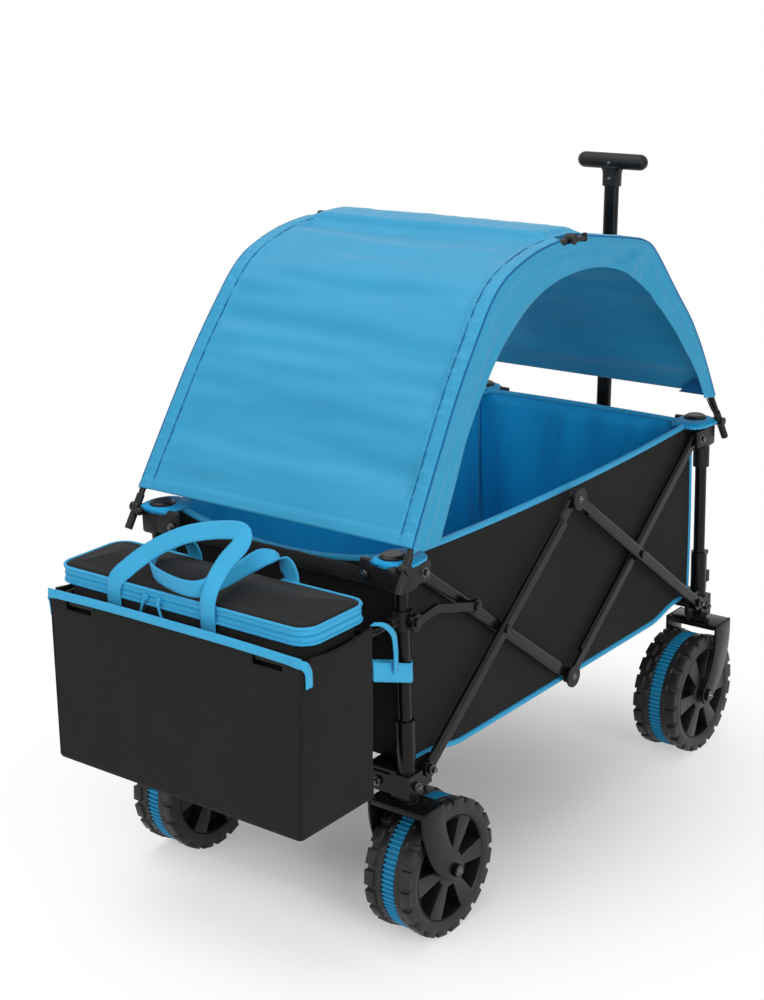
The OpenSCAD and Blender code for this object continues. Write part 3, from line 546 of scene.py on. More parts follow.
def corner_block(bm: Shape, end: int, side: int, low: Sequence[float], high: Sequence[float],
                 rounding: float, segments: int = 2) -> None:
    """Adds a rounded box that is given for the front left corner to any corner.

    Args:
        bm: the mesh that gets it.
        end: the sign of the corner's X.
        side: the sign of the corner's Y.
        low: the lowest corner in millimetres, at the front left.
        high: the highest corner in millimetres, at the front left.
        rounding: the edges' radius in millimetres.
        segments: faces around each edge.
    """
    xs, ys = sorted((end * low[0], end * high[0])), sorted((side * low[1], side * high[1]))
    block(bm, at(xs[0], ys[0], low[2]), at(xs[1], ys[1], high[2]), rounding, segments)


def lathe(bm: Shape, profile: Sequence[Pair], steps: int = 72, closed: bool = True) -> None:
    """Turns a profile about the Y axis at the origin.

    Args:
        bm: the mesh that gets it.
        profile: (radius, y) points in millimetres.
        steps: faces around.
        closed: whether the profile is a closed loop.
    """
    verts = [bm.verts.new((r / 1000, y / 1000, 0.0)) for r, y in profile]
    pairs = list(zip(verts, verts[1:])) + ([(verts[-1], verts[0])] if closed else [])
    edges = [bm.edges.new(pair) for pair in pairs]
    bmesh.ops.spin(bm, geom=[*verts, *edges], axis=(0, 1, 0), cent=(0, 0, 0), angle=math.tau,
                   steps=steps, use_merge=True, use_duplicate=False)
    bmesh.ops.remove_doubles(bm, verts=bm.verts, dist=1e-6)


def bolt(bm: Shape, centre: Vector, axis: Vector, across: float, height: float,
         head: BoltHead) -> None:
    """Adds a bolt head with its washer.

    Args:
        bm: the mesh that gets it.
        centre: the seat of the head, in metres.
        axis: the direction that the head faces.
        across: the head's width in millimetres.
        height: the head's height in millimetres.
        head: the head's kind.
    """
    turn = axis.to_track_quat("Z", "Y").to_matrix().to_4x4()
    tip, washer = 0.5 if head is BoltHead.DOME else 0.86, 0.9
    for radius, top, low, tall, sides in ((0.72, 0.68, 0.0, washer, 24),
                                          (0.5, tip * 0.5, washer, height, head.value)):
        lift = Matrix.Translation((0, 0, (low + tall / 2) / 1000))
        drum(bm, Matrix.Translation(centre) @ turn @ lift, (radius * across, top * across), tall,
             sides)


@dataclass
class Assembly:
    """A sub-assembly that builds its pieces and dresses them."""

    palette: Palette

    def piece(self, name: str, bm: Shape, finish: Finish, body: str | None,
              replaces: Sequence[str] = (), thick: float = 0.0, levels: int = 0,
              sharp: float = 35.0) -> Thing:
        """Turns a mesh into a finished piece.

        Args:
            name: the piece's name.
            bm: its mesh, in the row frame; it is used up.
            finish: its finish.
            body: the body that it rides on, or None for one that rides on none.
            replaces: the solids that it stands for.
            thick: thickness given to a sheet, in millimetres.
            levels: subdivision levels.
            sharp: edges over this angle stay sharp, in degrees.

        Returns:
            The piece.
        """
        bmesh.ops.recalc_face_normals(bm, faces=bm.faces)
        mesh = bpy.data.meshes.new(name)
        bm.to_mesh(mesh)
        bm.free()
        mesh.shade_smooth()
        mesh.set_sharp_from_angle(angle=math.radians(sharp))
        mesh.materials.append(self.palette.of(finish))
        made = bpy.data.objects.new(name, mesh)
        bpy.context.scene.collection.objects.link(made)
        if thick:
            wall = made.modifiers.new("cloth thickness", "SOLIDIFY")
            wall.thickness = thick / 1000
            wall.offset = 0.0
        if levels:
            soft = made.modifiers.new("soft form", "SUBSURF")
            soft.levels = soft.render_levels = levels
        if body:
            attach(made, body)
        if replaces:
            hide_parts(*replaces)
        LOG.info("%s: %d faces on %s", name, len(mesh.polygons), body or "two bodies")
        return made

    def carry(self, finish: Finish, *nodes: str) -> None:
        """Gives solids that stay in view a finish.

        Args:
            finish: the finish.
            nodes: the solids' names.
        """
        for name in nodes:
            mesh = frame["nodes"][name].data
            mesh.materials.clear()
            mesh.materials.append(self.palette.of(finish))
            LOG.info("%s carried in %s", name, finish.name)


def ripple(u: float, v: float, seed: float) -> float:
    """Gives a smooth wrinkle height from about -1 to 1 at (u, v), different for each seed."""
    return noise.noise(Vector((u, v, seed)))


def both(share: float, low: float, high: float) -> float:
    """Gives a ramp that rises from both edges of a sheet, at a share of its width."""
    return fade(share, low, high) * fade(1 - share, low, high)


def fade(value: float, low: float, high: float) -> float:
    """Ramps smoothly from 0 to 1.

    Args:
        value: where the ramp is read.
        low: where it leaves 0.
        high: where it reaches 1.

    Returns:
        The ramp's height.
    """
    t = min(max((value - low) / (high - low), 0.0), 1.0)
    return t * t * (3 - 2 * t)


@dataclass
class Canopy(Assembly):
    """Blue roof over two arched side poles that lean in, with its arched side cloth."""

    foot_y: float = 246.0
    ridge_y: float = 228.0
    rear: tuple[Pair, ...] = ((-427, 559), (-402, 599), (-352, 676), (-330, 709), (-305, 746),
                              (-280, 780), (-257, 809), (-233, 838), (-209, 865), (-182, 887),
                              (-149, 902), (-103, 915), (-56, 921.5))
    ridge: Pair = (0.0, 924.0)
    front: tuple[Pair, ...] = ((40, 919), (77, 912.5), (150, 899), (188, 890.5), (207, 883),
                               (221, 872.5), (242, 849), (271, 813), (300, 778), (326, 747),
                               (345, 718), (361, 690), (376, 660), (390.5, 628), (402, 604),
                               (427, 559))
    arch: tuple[Pair, ...] = ((-352, 576), (-306, 652), (-280, 697), (-241, 748), (-199, 793),
                              (-163, 821), (-124, 845), (-80, 863), (-33, 873), (20, 876),
                              (75, 872), (130, 857), (180, 831), (222, 799), (258, 765), (288, 733),
                              (318, 696), (341, 666), (357, 642), (374, 610))
    rear_hem: float = 583.0
    front_hem: float = 607.0
    pole_r: float = 4.5
    # The tube and its foot socket end at these shares of a half pole.
    pole_share: float = 0.975
    socket: float = 0.085
    socket_wall: float = 1.4
    peg: float = 34.0
    # The cloth's radius around a pole, the width of its sleeve and half the cut for a hinge.
    wrap_r: float = 5.9
    sleeve: float = 18.0
    notch: float = 33.0
    hinge_y: float = 3.6
    hinge_arm_r: float = 3.5
    hinge_lug: float = 3.4
    # Radius and depth of the round fittings.
    hinge_disc: Pair = (7.4, 6.9)
    foot_clip: Pair = (7.0, 15.4)
    clip_y: float = 246.2
    # Heights of the roof's broad and narrow ripples, its ridge pocket and the sleeve's puckers.
    slack: Pair = (8.4, 4.2)
    pocket_lift: float = 9.0
    pucker_lift: float = 2.0
    # The side cloth's folds fan out from this (x, z), at the front bend of the pole.
    fan: Pair = (214.0, 884.0)
    cloth: float = 0.9
    # Radius of the seam cord, a dark cord of painted shade along the shadow gap between sleeve and
    # side cloth.
    cord_r: float = 1.3
    stitch_r: float = 0.7
    stitch_half: float = 1.2
    patch: Pair = (58.0, 45.0)
    tie_r: float = 1.1
    known: dict[float, tuple[Vector, Vector]] = field(default_factory=dict, init=False)

    def __post_init__(self) -> None:
        """Draws the pole line from the rear foot over the ridge to the front foot."""
        self.line = Route([at(x, 0, z) for x, z in (*self.rear, self.ridge, *self.front)])

    def hem(self, end: End) -> float:
        """Gives the height of the cloth's hem at one end."""
        return self.rear_hem if end is End.REAR else self.front_hem

    def half(self, z: float) -> float:
        """Gives half the distance between the two sides' poles at a height in metres."""
        low, high = self.rear[0][1], self.ridge[1]
        return self.foot_y + (self.ridge_y - self.foot_y) * (1000 * z - low) / (high - low)

    def on_side(self, spot: Vector, side: Side, out: float = 0.0) -> Vector:
        """Moves a place on the middle line to one side's pole, or some millimetres out from it."""
        return Vector((spot.x, side.value * (self.half(spot.z) + out) / 1000, spot.z))

    def crossing(self, end: End, height: float) -> float:
        """Finds where one end's leg passes a height.

        Args:
            end: the end.
            height: the height in millimetres.

        Returns:
            The share of the pole line.
        """
        steps = 2000
        walk = (i / steps if end is End.REAR else 1 - i / steps for i in range(steps // 2))
        return next(share for share in walk if 1000 * self.line.at(share).z >= height)

    def station(self, share: float) -> tuple[Vector, Vector]:
        """Gives a station of the pole line, which is kept for the next time.

        Args:
            share: the share of the line's length.

        Returns:
            The place at y = 0 and the outward direction there.
        """
        if share not in self.known:
            heading = self.line.along(share)
            self.known[share] = self.line.at(share), Vector((-heading.z, 0.0, heading.x))
        return self.known[share]

    def hinged(self, made: Thing) -> None:
        """Bakes a piece's transform into its mesh; it works out two points beside the ridge but
        uses neither.
        """
        x, z = self.ridge
        at(x - 40, 0, z)
        at(x + 40, 0, z)
        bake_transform(made)

    def opening(self, x: float) -> float:
        """Gives 1 at an X in the row frame where a ridge hinge cuts the cloth open, 0 elsewhere."""
        return 1 - fade(abs(1000 * x - SHIFT), self.notch - 4, self.notch + 3)

    def roof(self) -> None:
        """Builds the roof as one sheet with edge sleeves, hems, ridge pocket and soft ripples."""
        first, last = (self.crossing(end, self.hem(end)) for end in End)
        long = (last - first) * self.line.length * 1000
        wrap = self.wrap_r * math.pi / 2
        reach = self.foot_y + wrap

        def place(u: float, v: float) -> Vector:
            """Gives a place on the roof.

            Args:
                u: the share of the way from the rear hem to the front hem.
                v: the share of the way from the right edge to the left one.

            Returns:
                The place in the row frame.
            """
            spot, normal = self.station(first + (last - first) * u)
            half = self.half(spot.z)
            x, walk = 1000 * spot.x - SHIFT, u * long
            t = 2 * v - 1
            s = (1 - (1 - abs(t)) ** 1.5) * (half + wrap - (wrap + 9) * self.opening(spot.x))
            past = max(s - half, 0.0) / self.wrap_r
            y = math.copysign(min(s, half) + self.wrap_r * math.sin(past), t)
            inside = 1 - fade(s, half - self.sleeve - 14, half - self.sleeve)
            crest = fade(x, -62, -44) * (1 - fade(x, 50, 90))
            free = inside * fade(walk, 10, 60) * fade(long - walk, 10, 60) * (1 - 0.85 * crest)
            lift = self.wrap_r * math.cos(past)
            lift += free * (self.slack[0] * ripple(walk / 54, y / 330, 1.5)
                            + self.slack[1] * ripple(walk / 27, y / 170, 7.2) - 5.0)
            lift -= 2.2 * (1 - fade(abs(s - half + self.sleeve), 0.0, 5.0))
            pucker = fade(s, half - self.sleeve - 12, half - self.sleeve + 4) * (1 - min(past, 1.0))
            lift += self.pucker_lift * pucker * ripple(walk / 7.5, s / 16, 3.3)
            pocket = fade(x, -46, -36) * (1 - fade(x, 26, 62)) * fade(half - s, 4, 34)
            lift += pocket * (self.pocket_lift + 0.9 * ripple(y / 19, x / 40, 2.4)
                              + 0.5 * ripple(y / 8, x / 22, 5.4))
            lift -= 2.0 * (1 - fade(abs(x + 48), 0.0, 5.0)) * inside
            for hem in (walk, long - walk):
                lift += 0.9 * (1 - fade(hem, 15, 18)) - 0.8 * (1 - fade(abs(hem - 19), 0.0, 3.0))
            spot = spot + normal * (lift / 1000)
            return Vector((spot.x, y / 1000, spot.z))

        bm = cloth_grid(340, 96, (long, 2 * reach), place)
        roof = self.piece("canopy_roof", bm, Palette.CANOPY, None,
                          ("canopy_roof_rear", "canopy_roof_front"), thick=self.cloth)
        self.hinged(roof)

    def side_cloth(self, side: Side) -> None:
        """Builds the cloth between a pole and the arched side opening.

        Args:
            side: the wagon's side.
        """
        first = self.crossing(End.REAR, self.rear_hem - 5)
        last = self.crossing(End.FRONT, self.front_hem - 2)
        edge = Route([at(x, 0, z) for x, z in self.arch])
        bend = at(self.fan[0], 0, self.fan[1])
        long = (last - first) * self.line.length

        def place(u: float, v: float) -> Vector:
            """Gives a place on the side cloth.

            Args:
                u: the share of the way from the rear foot to the front foot.
                v: the share of the way from the pole to the arched edge.

            Returns:
                The place in the row frame.
            """
            spot, normal = self.station(first + (last - first) * u)
            v = v + (1 - v) * 0.11 * self.opening(spot.x)
            spot = (spot + normal * 0.001).lerp(edge.at(u), v)
            away = spot - bend
            rays = fade(away.length, 0.012, 0.06) * (1 - fade(away.length, 0.12, 0.24))
            fold = 7.0 * rays * ripple(4.2 * math.atan2(away.z, away.x), 0.4, 3.0 * side.value)
            fold += 3.4 * ripple(v * 4.0, u * 6, 4.0 * side.value)
            fold += 1.4 * ripple(u * 34, v * 2.0, 9.1)
            fold *= fade(v, 0.02, 0.3) * (1 - 0.6 * fade(v, 0.8, 1.0))
            y = self.half(spot.z) + 5.4 - 3.4 * v + fold
            y -= 0.9 * (1 - fade(abs(v - 0.9), 0.0, 0.05))
            return Vector((spot.x, side.value * y / 1000, spot.z))

        bm = cloth_grid(280, 30, (1000 * long, 80.0), place)
        area = sum(face.calc_area() for face in bm.faces)
        cloth = self.piece(f"canopy_side_{side.word}", bm, Palette.CANOPY, None,
                           ("canopy_valances",), thick=self.cloth)
        self.hinged(cloth)

    def seams(self, side: Side) -> None:
        """Builds the corded seams that join the roof to the side cloth along each half pole. The
        cord's dark navy is painted shade, standing in for the shadow gap between the sleeve and the
        side cloth.

        Args:
            side: the wagon's side.
        """
        rear, front = (self.crossing(end, self.hem(end)) for end in End)
        gap = (self.notch + 5) / 1000 / self.line.length
        middle = self.line.walked[Route.STEPS * len(self.rear)] / self.line.length
        for end, low, high in ((End.REAR, rear, middle - gap), (End.FRONT, middle + gap, front)):
            bm, gap_shade_cord, stitches = bmesh.new(), [], []
            for i in range(81):
                spot, normal = self.station(low + (high - low) * i / 80)
                gap_shade_cord.append(self.on_side(spot + normal * 0.0042, side, 4.9))
            for i in range(161):
                spot, normal = self.station(low + (high - low) * i / 160)
                wave = self.sleeve + (self.stitch_half if i % 2 else -self.stitch_half)
                spot = spot + normal * ((self.wrap_r - 1.2) / 1000)
                stitches.append(self.on_side(spot, side, -wave))
            # The dark cord is painted shade: it marks the shadow gap where the sleeve meets the
            # side cloth.
            sweep(bm, gap_shade_cord, self.cord_r, 8)
            sweep(bm, stitches, self.stitch_r, 6)
            self.piece(f"canopy_seam_{end.word}_{side.word}", bm, Palette.PIPING,
                       f"canopy_{end.word}")

    def poles(self, end: End) -> None:
        """Builds one end's two half poles, their ridge hinges, foot clips and pegs.

        Args:
            end: the end that the half poles stand at.
        """
        e, top = end.value, self.ridge[1]
        tubes, fittings = bmesh.new(), bmesh.new()
        points = [*(self.rear if end is End.REAR else reversed(self.front)), self.ridge]
        (fx, fz), (ux, uz) = points[0], points[1]
        down = Vector((fx - ux, 0.0, fz - uz)).normalized() * self.peg
        leg = Route([at(fx + down.x, 0, fz + down.z), *(at(x, 0, z) for x, z in points)])
        tube, socket = leg.even(90, self.pole_share), leg.even(8, self.socket)
        # The two halves' hinge arms lie beside each other.
        inner = self.ridge_y + e * self.hinge_y
        turn = Vector((0, 1, 0)).to_track_quat("Z", "Y").to_matrix().to_4x4()
        rounds = ((0, inner, top, self.hinge_disc), (fx, self.clip_y, fz, self.foot_clip))
        for side in Side:
            s = side.value
            sweep(tubes, [self.on_side(spot, side) for spot in tube], self.pole_r, 14)
            sweep(fittings, [self.on_side(spot, side) for spot in socket],
                  self.pole_r + self.socket_wall, 18)
            for i in range(2):
                sweep(fittings,
                      [at(e * (3 + 15 * i + 15 * j / 4), s * inner, top - 1.2 - 0.6 * i - 0.15 * j)
                       for j in range(5)], self.hinge_arm_r, 12)
            corner_block(fittings, e, s, (29, inner - self.hinge_lug, top - 7),
                         (34, inner + self.hinge_lug, top + 5), 1.2)
            for x, y, z, (r, deep) in rounds:
                drum(fittings, Matrix.Translation(at(x, s * y, z)) @ turn, (r, r), deep, 28)
        node = f"canopy_poles_{end.word}"
        self.piece(f"canopy_tubes_{end.word}", tubes, Palette.STEEL, f"canopy_{end.word}", (node,))
        self.piece(f"canopy_fittings_{end.word}", fittings, Palette.NYLON, f"canopy_{end.word}",
                   (node,))

    def corners(self) -> None:
        """Builds the patch inside each front hem corner and its elastic loop to the pole's foot."""
        cut = self.crossing(End.FRONT, self.front_hem + 1)
        wide, tall = self.patch
        rise = tall / 1000 / self.line.length
        for side in Side:
            s = side.value

            def patch(u: float, v: float) -> Vector:
                """Gives a place on the three-cornered patch.

                Args:
                    u: the share of the way in from the pole.
                    v: the share of the way up from the hem.

                Returns:
                    The place in the row frame.
                """
                spot, normal = self.station(round(cut - rise * v, 6))
                y = self.half(spot.z) - 1 - wide * u * (1 - v)
                spot = spot - normal * 0.0012
                return Vector((spot.x, s * y / 1000, spot.z))

            self.piece(f"canopy_patch_{side.word}", cloth_grid(10, 10, self.patch, patch),
                       Palette.PIPING, "canopy_front", thick=0.8)
            bm = bmesh.new()
            for off in (0.0, 5.0):
                path = Route([at(392 - off, s * 243, 606), at(403 - off * 0.6, s * 246, 584),
                              at(420, s * 249, 562)])
                sweep(bm, path.even(12), self.tie_r, 8)
            self.piece(f"canopy_tie_{side.word}", bm, Palette.NYLON, "canopy_front")

    def build(self) -> None:
        """Builds and dresses the whole canopy."""
        for end in End:
            self.poles(end)
        self.roof()
        for side in Side:
            self.side_cloth(side)
            self.seams(side)
        self.corners()


@dataclass
class Tub(Assembly):
    """Cloth tub: black outside, blue lining, bound edges, floor mat and corner gussets."""

    half_x: float = 390.7
    outer_y: float = 213.0
    inner_y: float = 210.0
    low: float = 261.3
    floor: float = 270.3
    rim: float = 558.0
    cap: Pair = (408.0, 211.0)
    cap_r: float = 18.5
    cap_top: float = 563.6
    outer_reach: float = 244.5
    side_sag: float = 11.0
    rear_sag: float = 29.0
    front_sag: float = -2.0
    # How far the outer cloth hangs under the floor, and the share of the tub left when folded.
    skirt: float = 14.0
    keep: float = 0.377
    cloth: float = 1.4
    # Radii of the bindings on the top edge, the low edge, the upright edges and the gussets.
    top_r: float = 4.6
    low_r: float = 4.2
    bow_r: float = 4.8
    gusset_r: float = 2.6
    # The gusset's reach along X and Y from the cap: in over the walls, and out over the bracket.
    gusset_in: Pair = (46.0, 26.0)
    gusset_out: float = 24.5
    gusset_rings: int = 7
    gusset_power: float = 3.2
    sleeve_half: float = 167.0
    sleeve_z: float = 529.5
    sleeve_r: float = 10.6

    def edge(self, share: float, sag: float) -> float:
        """Gives the top edge's height at a share of a wall's width."""
        return self.rim - sag * (1 - (2 * share - 1) ** 2)

    def shrink(self, made: Thing) -> None:
        """Gives a piece its own copy of its mesh."""
        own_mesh(made)

    def side_wall(self, side: Side) -> None:
        """Builds a long wall's outer cloth, lining and bound edges.

        Args:
            side: the wagon's side.
        """
        word, s, half = side.word, side.value, self.half_x - 0.8

        def below(u: float) -> float:
            """Gives how far the outer cloth hangs under the floor."""
            return self.skirt * both(u, 0.05, 0.16)

        def outer(u: float, v: float) -> Vector:
            """Gives a place on the outer cloth.

            Args:
                u: the share of the way along the wall.
                v: the share of the way up.

            Returns:
                The place in the row frame.
            """
            low, top = self.low - below(u), self.edge(u, self.side_sag)
            belly = math.sin(math.pi * v) * both(u, 0.0, 0.08)
            crease = 2.0 * ripple(u * 7, v * 3, 5.0)
            crease += 1.2 * ripple(u * 16 + v * 9, v * 5 - u * 4, 2.0)
            return at((2 * u - 1) * half, s * (self.outer_y + belly * (1.6 + crease)),
                      low + (top - low) * v)

        def lining(u: float, v: float) -> Vector:
            """Gives a place on the lining.

            Args:
                u: the share of the way along the wall.
                v: the share of the way up.

            Returns:
                The place in the row frame.
            """
            top = self.edge(u, self.side_sag)
            belly = fade(v, 0.0, 0.2) * fade(1 - v, 0.0, 0.06) * both(u, 0.01, 0.08)
            fold = 6.5 * ripple(u * 12, v * 0.7, 1.0) + 3.0 * ripple(u * 27 + v * 3, v * 1.6, 6.0)
            return at((2 * u - 1) * (half - 3), s * (self.inner_y - belly * (6.5 + fold)),
                      self.floor + (top - self.floor) * v)

        size = (2 * half, self.rim - self.low)
        for name, place, finish in (("outer", outer, Palette.BLACK_CLOTH),
                                    ("lining", lining, Palette.LINING)):
            made = self.piece(f"tub_{word}_{name}", cloth_grid(150, 50, size, place), finish,
                              "rear_top", (f"tub_side_{word}",), thick=self.cloth)
            self.shrink(made)
        bm, shares = bmesh.new(), [i / 60 for i in range(61)]
        mean = s * (self.outer_y + self.inner_y) / 2
        top = [at((2 * u - 1) * half, mean, self.edge(u, self.side_sag) + 2) for u in shares]
        low = [at((2 * u - 1) * half, s * (self.outer_y + 0.4), self.low - below(u))
               for u in shares]
        sweep(bm, top, self.top_r)
        sweep(bm, low, self.low_r)
        self.shrink(self.piece(f"tub_{word}_binding", bm, Palette.WEBBING, "rear_top"))

    def end_wall(self, end: End) -> None:
        """Builds an end wall's outer cloth, lining and bound edges.

        Args:
            end: the wagon's end.
        """
        word, e, half = end.word, end.value, self.inner_y - 0.6
        body, end_sag = f"{word}_top", self.rear_sag if end is End.REAR else self.front_sag

        def outer(u: float, v: float) -> Vector:
            """Gives a place on the outer cloth.

            Args:
                u: the share of the way across the wall.
                v: the share of the way up.

            Returns:
                The place in the row frame.
            """
            top = self.edge(u, end_sag)
            belly = math.sin(math.pi * v) * both(u, 0.0, 0.1)
            crease = 2.2 * ripple(u * 5, v * 3, 8.0) + 1.0 * ripple(u * 12 + v * 6, v * 5, 3.0)
            return at(e * (self.half_x - 0.4 + belly * (1.4 + crease) * 0.5), (2 * u - 1) * half,
                      self.low + (top - self.low) * v)

        def lining(u: float, v: float) -> Vector:
            """Gives a place on the lining.

            Args:
                u: the share of the way across the wall.
                v: the share of the way up.

            Returns:
                The place in the row frame.
            """
            top = self.edge(u, end_sag)
            belly = fade(v, 0.0, 0.2) * fade(1 - v, 0.0, 0.06) * both(u, 0.02, 0.12)
            fold = 8.0 * ripple(u * 8, v * 0.8, 4.0) + 4.2 * ripple(u * 18 + v * 3, v * 1.6, 2.0)
            return at(e * (self.half_x - 3 - belly * (6.5 + fold)), (2 * u - 1) * (half - 2),
                      self.floor + (top - self.floor) * v)

        size = (2 * half, self.rim - self.low)
        for name, place, finish in (("outer", outer, Palette.BLACK_CLOTH),
                                    ("lining", lining, Palette.LINING)):
            made = self.piece(f"tub_{word}_{name}", cloth_grid(90, 50, size, place), finish, body,
                              (f"tub_{word}_wall",), thick=self.cloth)
        bm, x = bmesh.new(), e * (self.half_x - 1.6)
        sweep(bm,
              [at(x, (2 * i / 40 - 1) * half, self.edge(i / 40, end_sag) + 2) for i in range(41)],
              self.top_r)
        for side in Side:
            bow = [at(e * (self.half_x - 1.5 + 3.5 * math.sin(math.pi * i / 20)),
                      side.value * (self.inner_y + 0.5),
                      self.low + 3 + (self.rim - self.low - 4) * i / 20) for i in range(21)]
            sweep(bm, bow, self.bow_r)
        self.piece(f"tub_{word}_binding", bm, Palette.WEBBING, body)

    def bottom(self) -> None:
        """Builds the floor mat with its stitched fold lines, and the black cloth under it."""
        half_x, half_y = self.half_x - 6, self.inner_y - 4

        def mat(u: float, v: float) -> Vector:
            """Gives a place on the mat, u along it and v across."""
            panel = abs(math.sin(4 * math.pi * u)) ** 0.4 * both(v, 0.0, 0.05)
            return at((2 * u - 1) * half_x, (2 * v - 1) * half_y, self.floor - 4.5 + 4.0 * panel)

        def below(u: float, v: float) -> Vector:
            """Gives a place on the black cloth under the mat."""
            sag = math.sin(math.pi * u) * math.sin(math.pi * v)
            return at((2 * u - 1) * half_x, (2 * v - 1) * half_y, self.floor - 13.0 - 1.5 * sag)

        size = (2 * half_x, 2 * half_y)
        made = self.piece("tub_mat", cloth_grid(140, 60, size, mat), Palette.LINING, "rear_top",
                          ("tub_floor",), thick=6.0)
        self.shrink(made)
        base = self.piece("tub_base", cloth_grid(60, 30, size, below), Palette.BLACK_CLOTH,
                          "rear_top", ("tub_floor",), thick=1.2)
        self.shrink(base)

    def gusset(self, end: End, side: Side) -> None:
        """Builds the blue corner cloth that hides a corner bracket around its round cap.

        Args:
            end: the corner's end.
            side: the corner's side.
        """
        bm, edge = bmesh.new(), bmesh.new()
        e, s, (cx, cy), power = end.value, side.value, self.cap, self.gusset_power
        ring = bmesh.ops.create_circle(bm, cap_ends=False, segments=64, radius=1.0)["verts"]
        edges, layers = rim_of(ring), [ring]
        for _ in range(self.gusset_rings):
            grown = bmesh.ops.extrude_edge_only(bm, edges=edges)["geom"]
            layers.append(only(grown, Vert))
            edges = only(grown, Edge)
        for i, verts in enumerate(layers):
            share = i / self.gusset_rings
            for vert in verts:
                a = math.atan2(vert.co.y, vert.co.x)
                # Along +X and +Y the cloth reaches over the walls; else it covers the bracket.
                wide = self.gusset_in[0] if math.cos(a) > 0 else self.gusset_out
                deep = self.gusset_in[1] if math.sin(a) > 0 else self.outer_reach - cy
                far = (abs(math.cos(a) / wide) ** power
                       + abs(math.sin(a) / deep) ** power) ** (-1 / power)
                r = self.cap_r + (far - self.cap_r) * share
                drop = 5.5 * share ** 5 + 1.0 * math.sin(5 * a + e) * share * (1 - share)
                vert.co = at(e * (cx - r * math.cos(a)), s * (cy - r * math.sin(a)),
                             self.cap_top + 0.9 - drop)

        def around_cap(vert: Vert) -> float:
            """Gives a rim vertex's angle about the cap, which puts the rim in order."""
            return math.atan2(s * vert.co.y - cy / 1000, e * vert.co.x - cx / 1000)

        rim = [vert.co.copy() for vert in sorted(layers[-1], key=around_cap)]
        sweep(edge, [*rim, rim[0]], self.gusset_r, 8)
        name = f"{end.word}_{side.word}"
        self.piece(f"tub_gusset_{name}", bm, Palette.LINING, f"{end.word}_top", thick=self.cloth,
                   levels=1)
        self.piece(f"tub_gusset_binding_{name}", edge, Palette.WEBBING, f"{end.word}_top")

    def cross_sleeve(self, end: End) -> None:
        """Builds the black cloth sleeve that carries an end wall on its cross tube.

        Args:
            end: the wagon's end.
        """
        bm, half = bmesh.new(), self.sleeve_half
        path = [at(end.value * self.cap[0], -half + 2 * half * i / 40, self.sleeve_z)
                for i in range(41)]
        sweep(bm, path, self.sleeve_r, 16)
        for vert in bm.verts:
            vert.co.z += 0.0011 * ripple(vert.co.y * 60, vert.co.x * 20, 3.0)
        self.piece(f"tub_{end.word}_sleeve", bm, Palette.BLACK_CLOTH, f"{end.word}_top")

    def build(self) -> None:
        """Builds and dresses the whole tub."""
        for side in Side:
            self.side_wall(side)
        for end in End:
            self.end_wall(end)
            self.cross_sleeve(end)
            for side in Side:
                self.gusset(end, side)
        self.bottom()


def around(u: float, half_x: float, half_y: float,
           corner: float) -> tuple[float, float, float, float]:
    """Walks around a rounded rectangle from the middle of its -X side.

    Args:
        u: the share of the way around.
        half_x: half its size along X.
        half_y: half its size along Y.
        corner: the corners' radius.

    Returns:
        The place (x, y) and the outward direction (x, y).
    """
    flat_x, flat_y, arc = 2 * (half_x - corner), 2 * (half_y - corner), math.pi / 2 * corner
    whole = 2 * flat_x + 2 * flat_y + 4 * arc
    left = ((u % 1.0) * whole + flat_y / 2) % whole
    for turn, flat in enumerate((flat_y, flat_x, flat_y, flat_x)):
        way, out = Vector((0.0, -1.0)), Vector((-1.0, 0.0))
        spin = Matrix.Rotation(turn * math.pi / 2, 2)
        way, out = spin @ way, spin @ out
        reach = half_x if turn % 2 == 0 else half_y
        if left <= flat:
            spot = out * reach + way * (left - flat / 2)
            return spot.x, spot.y, out.x, out.y
        left -= flat
        if left <= arc:
            bend = Matrix.Rotation(left / corner, 2) @ out
            spot = out * (reach - corner) + way * (flat / 2) + bend * corner
            return spot.x, spot.y, bend.x, bend.y
        left -= arc
    return -half_x, half_y - corner, -1.0, 0.0


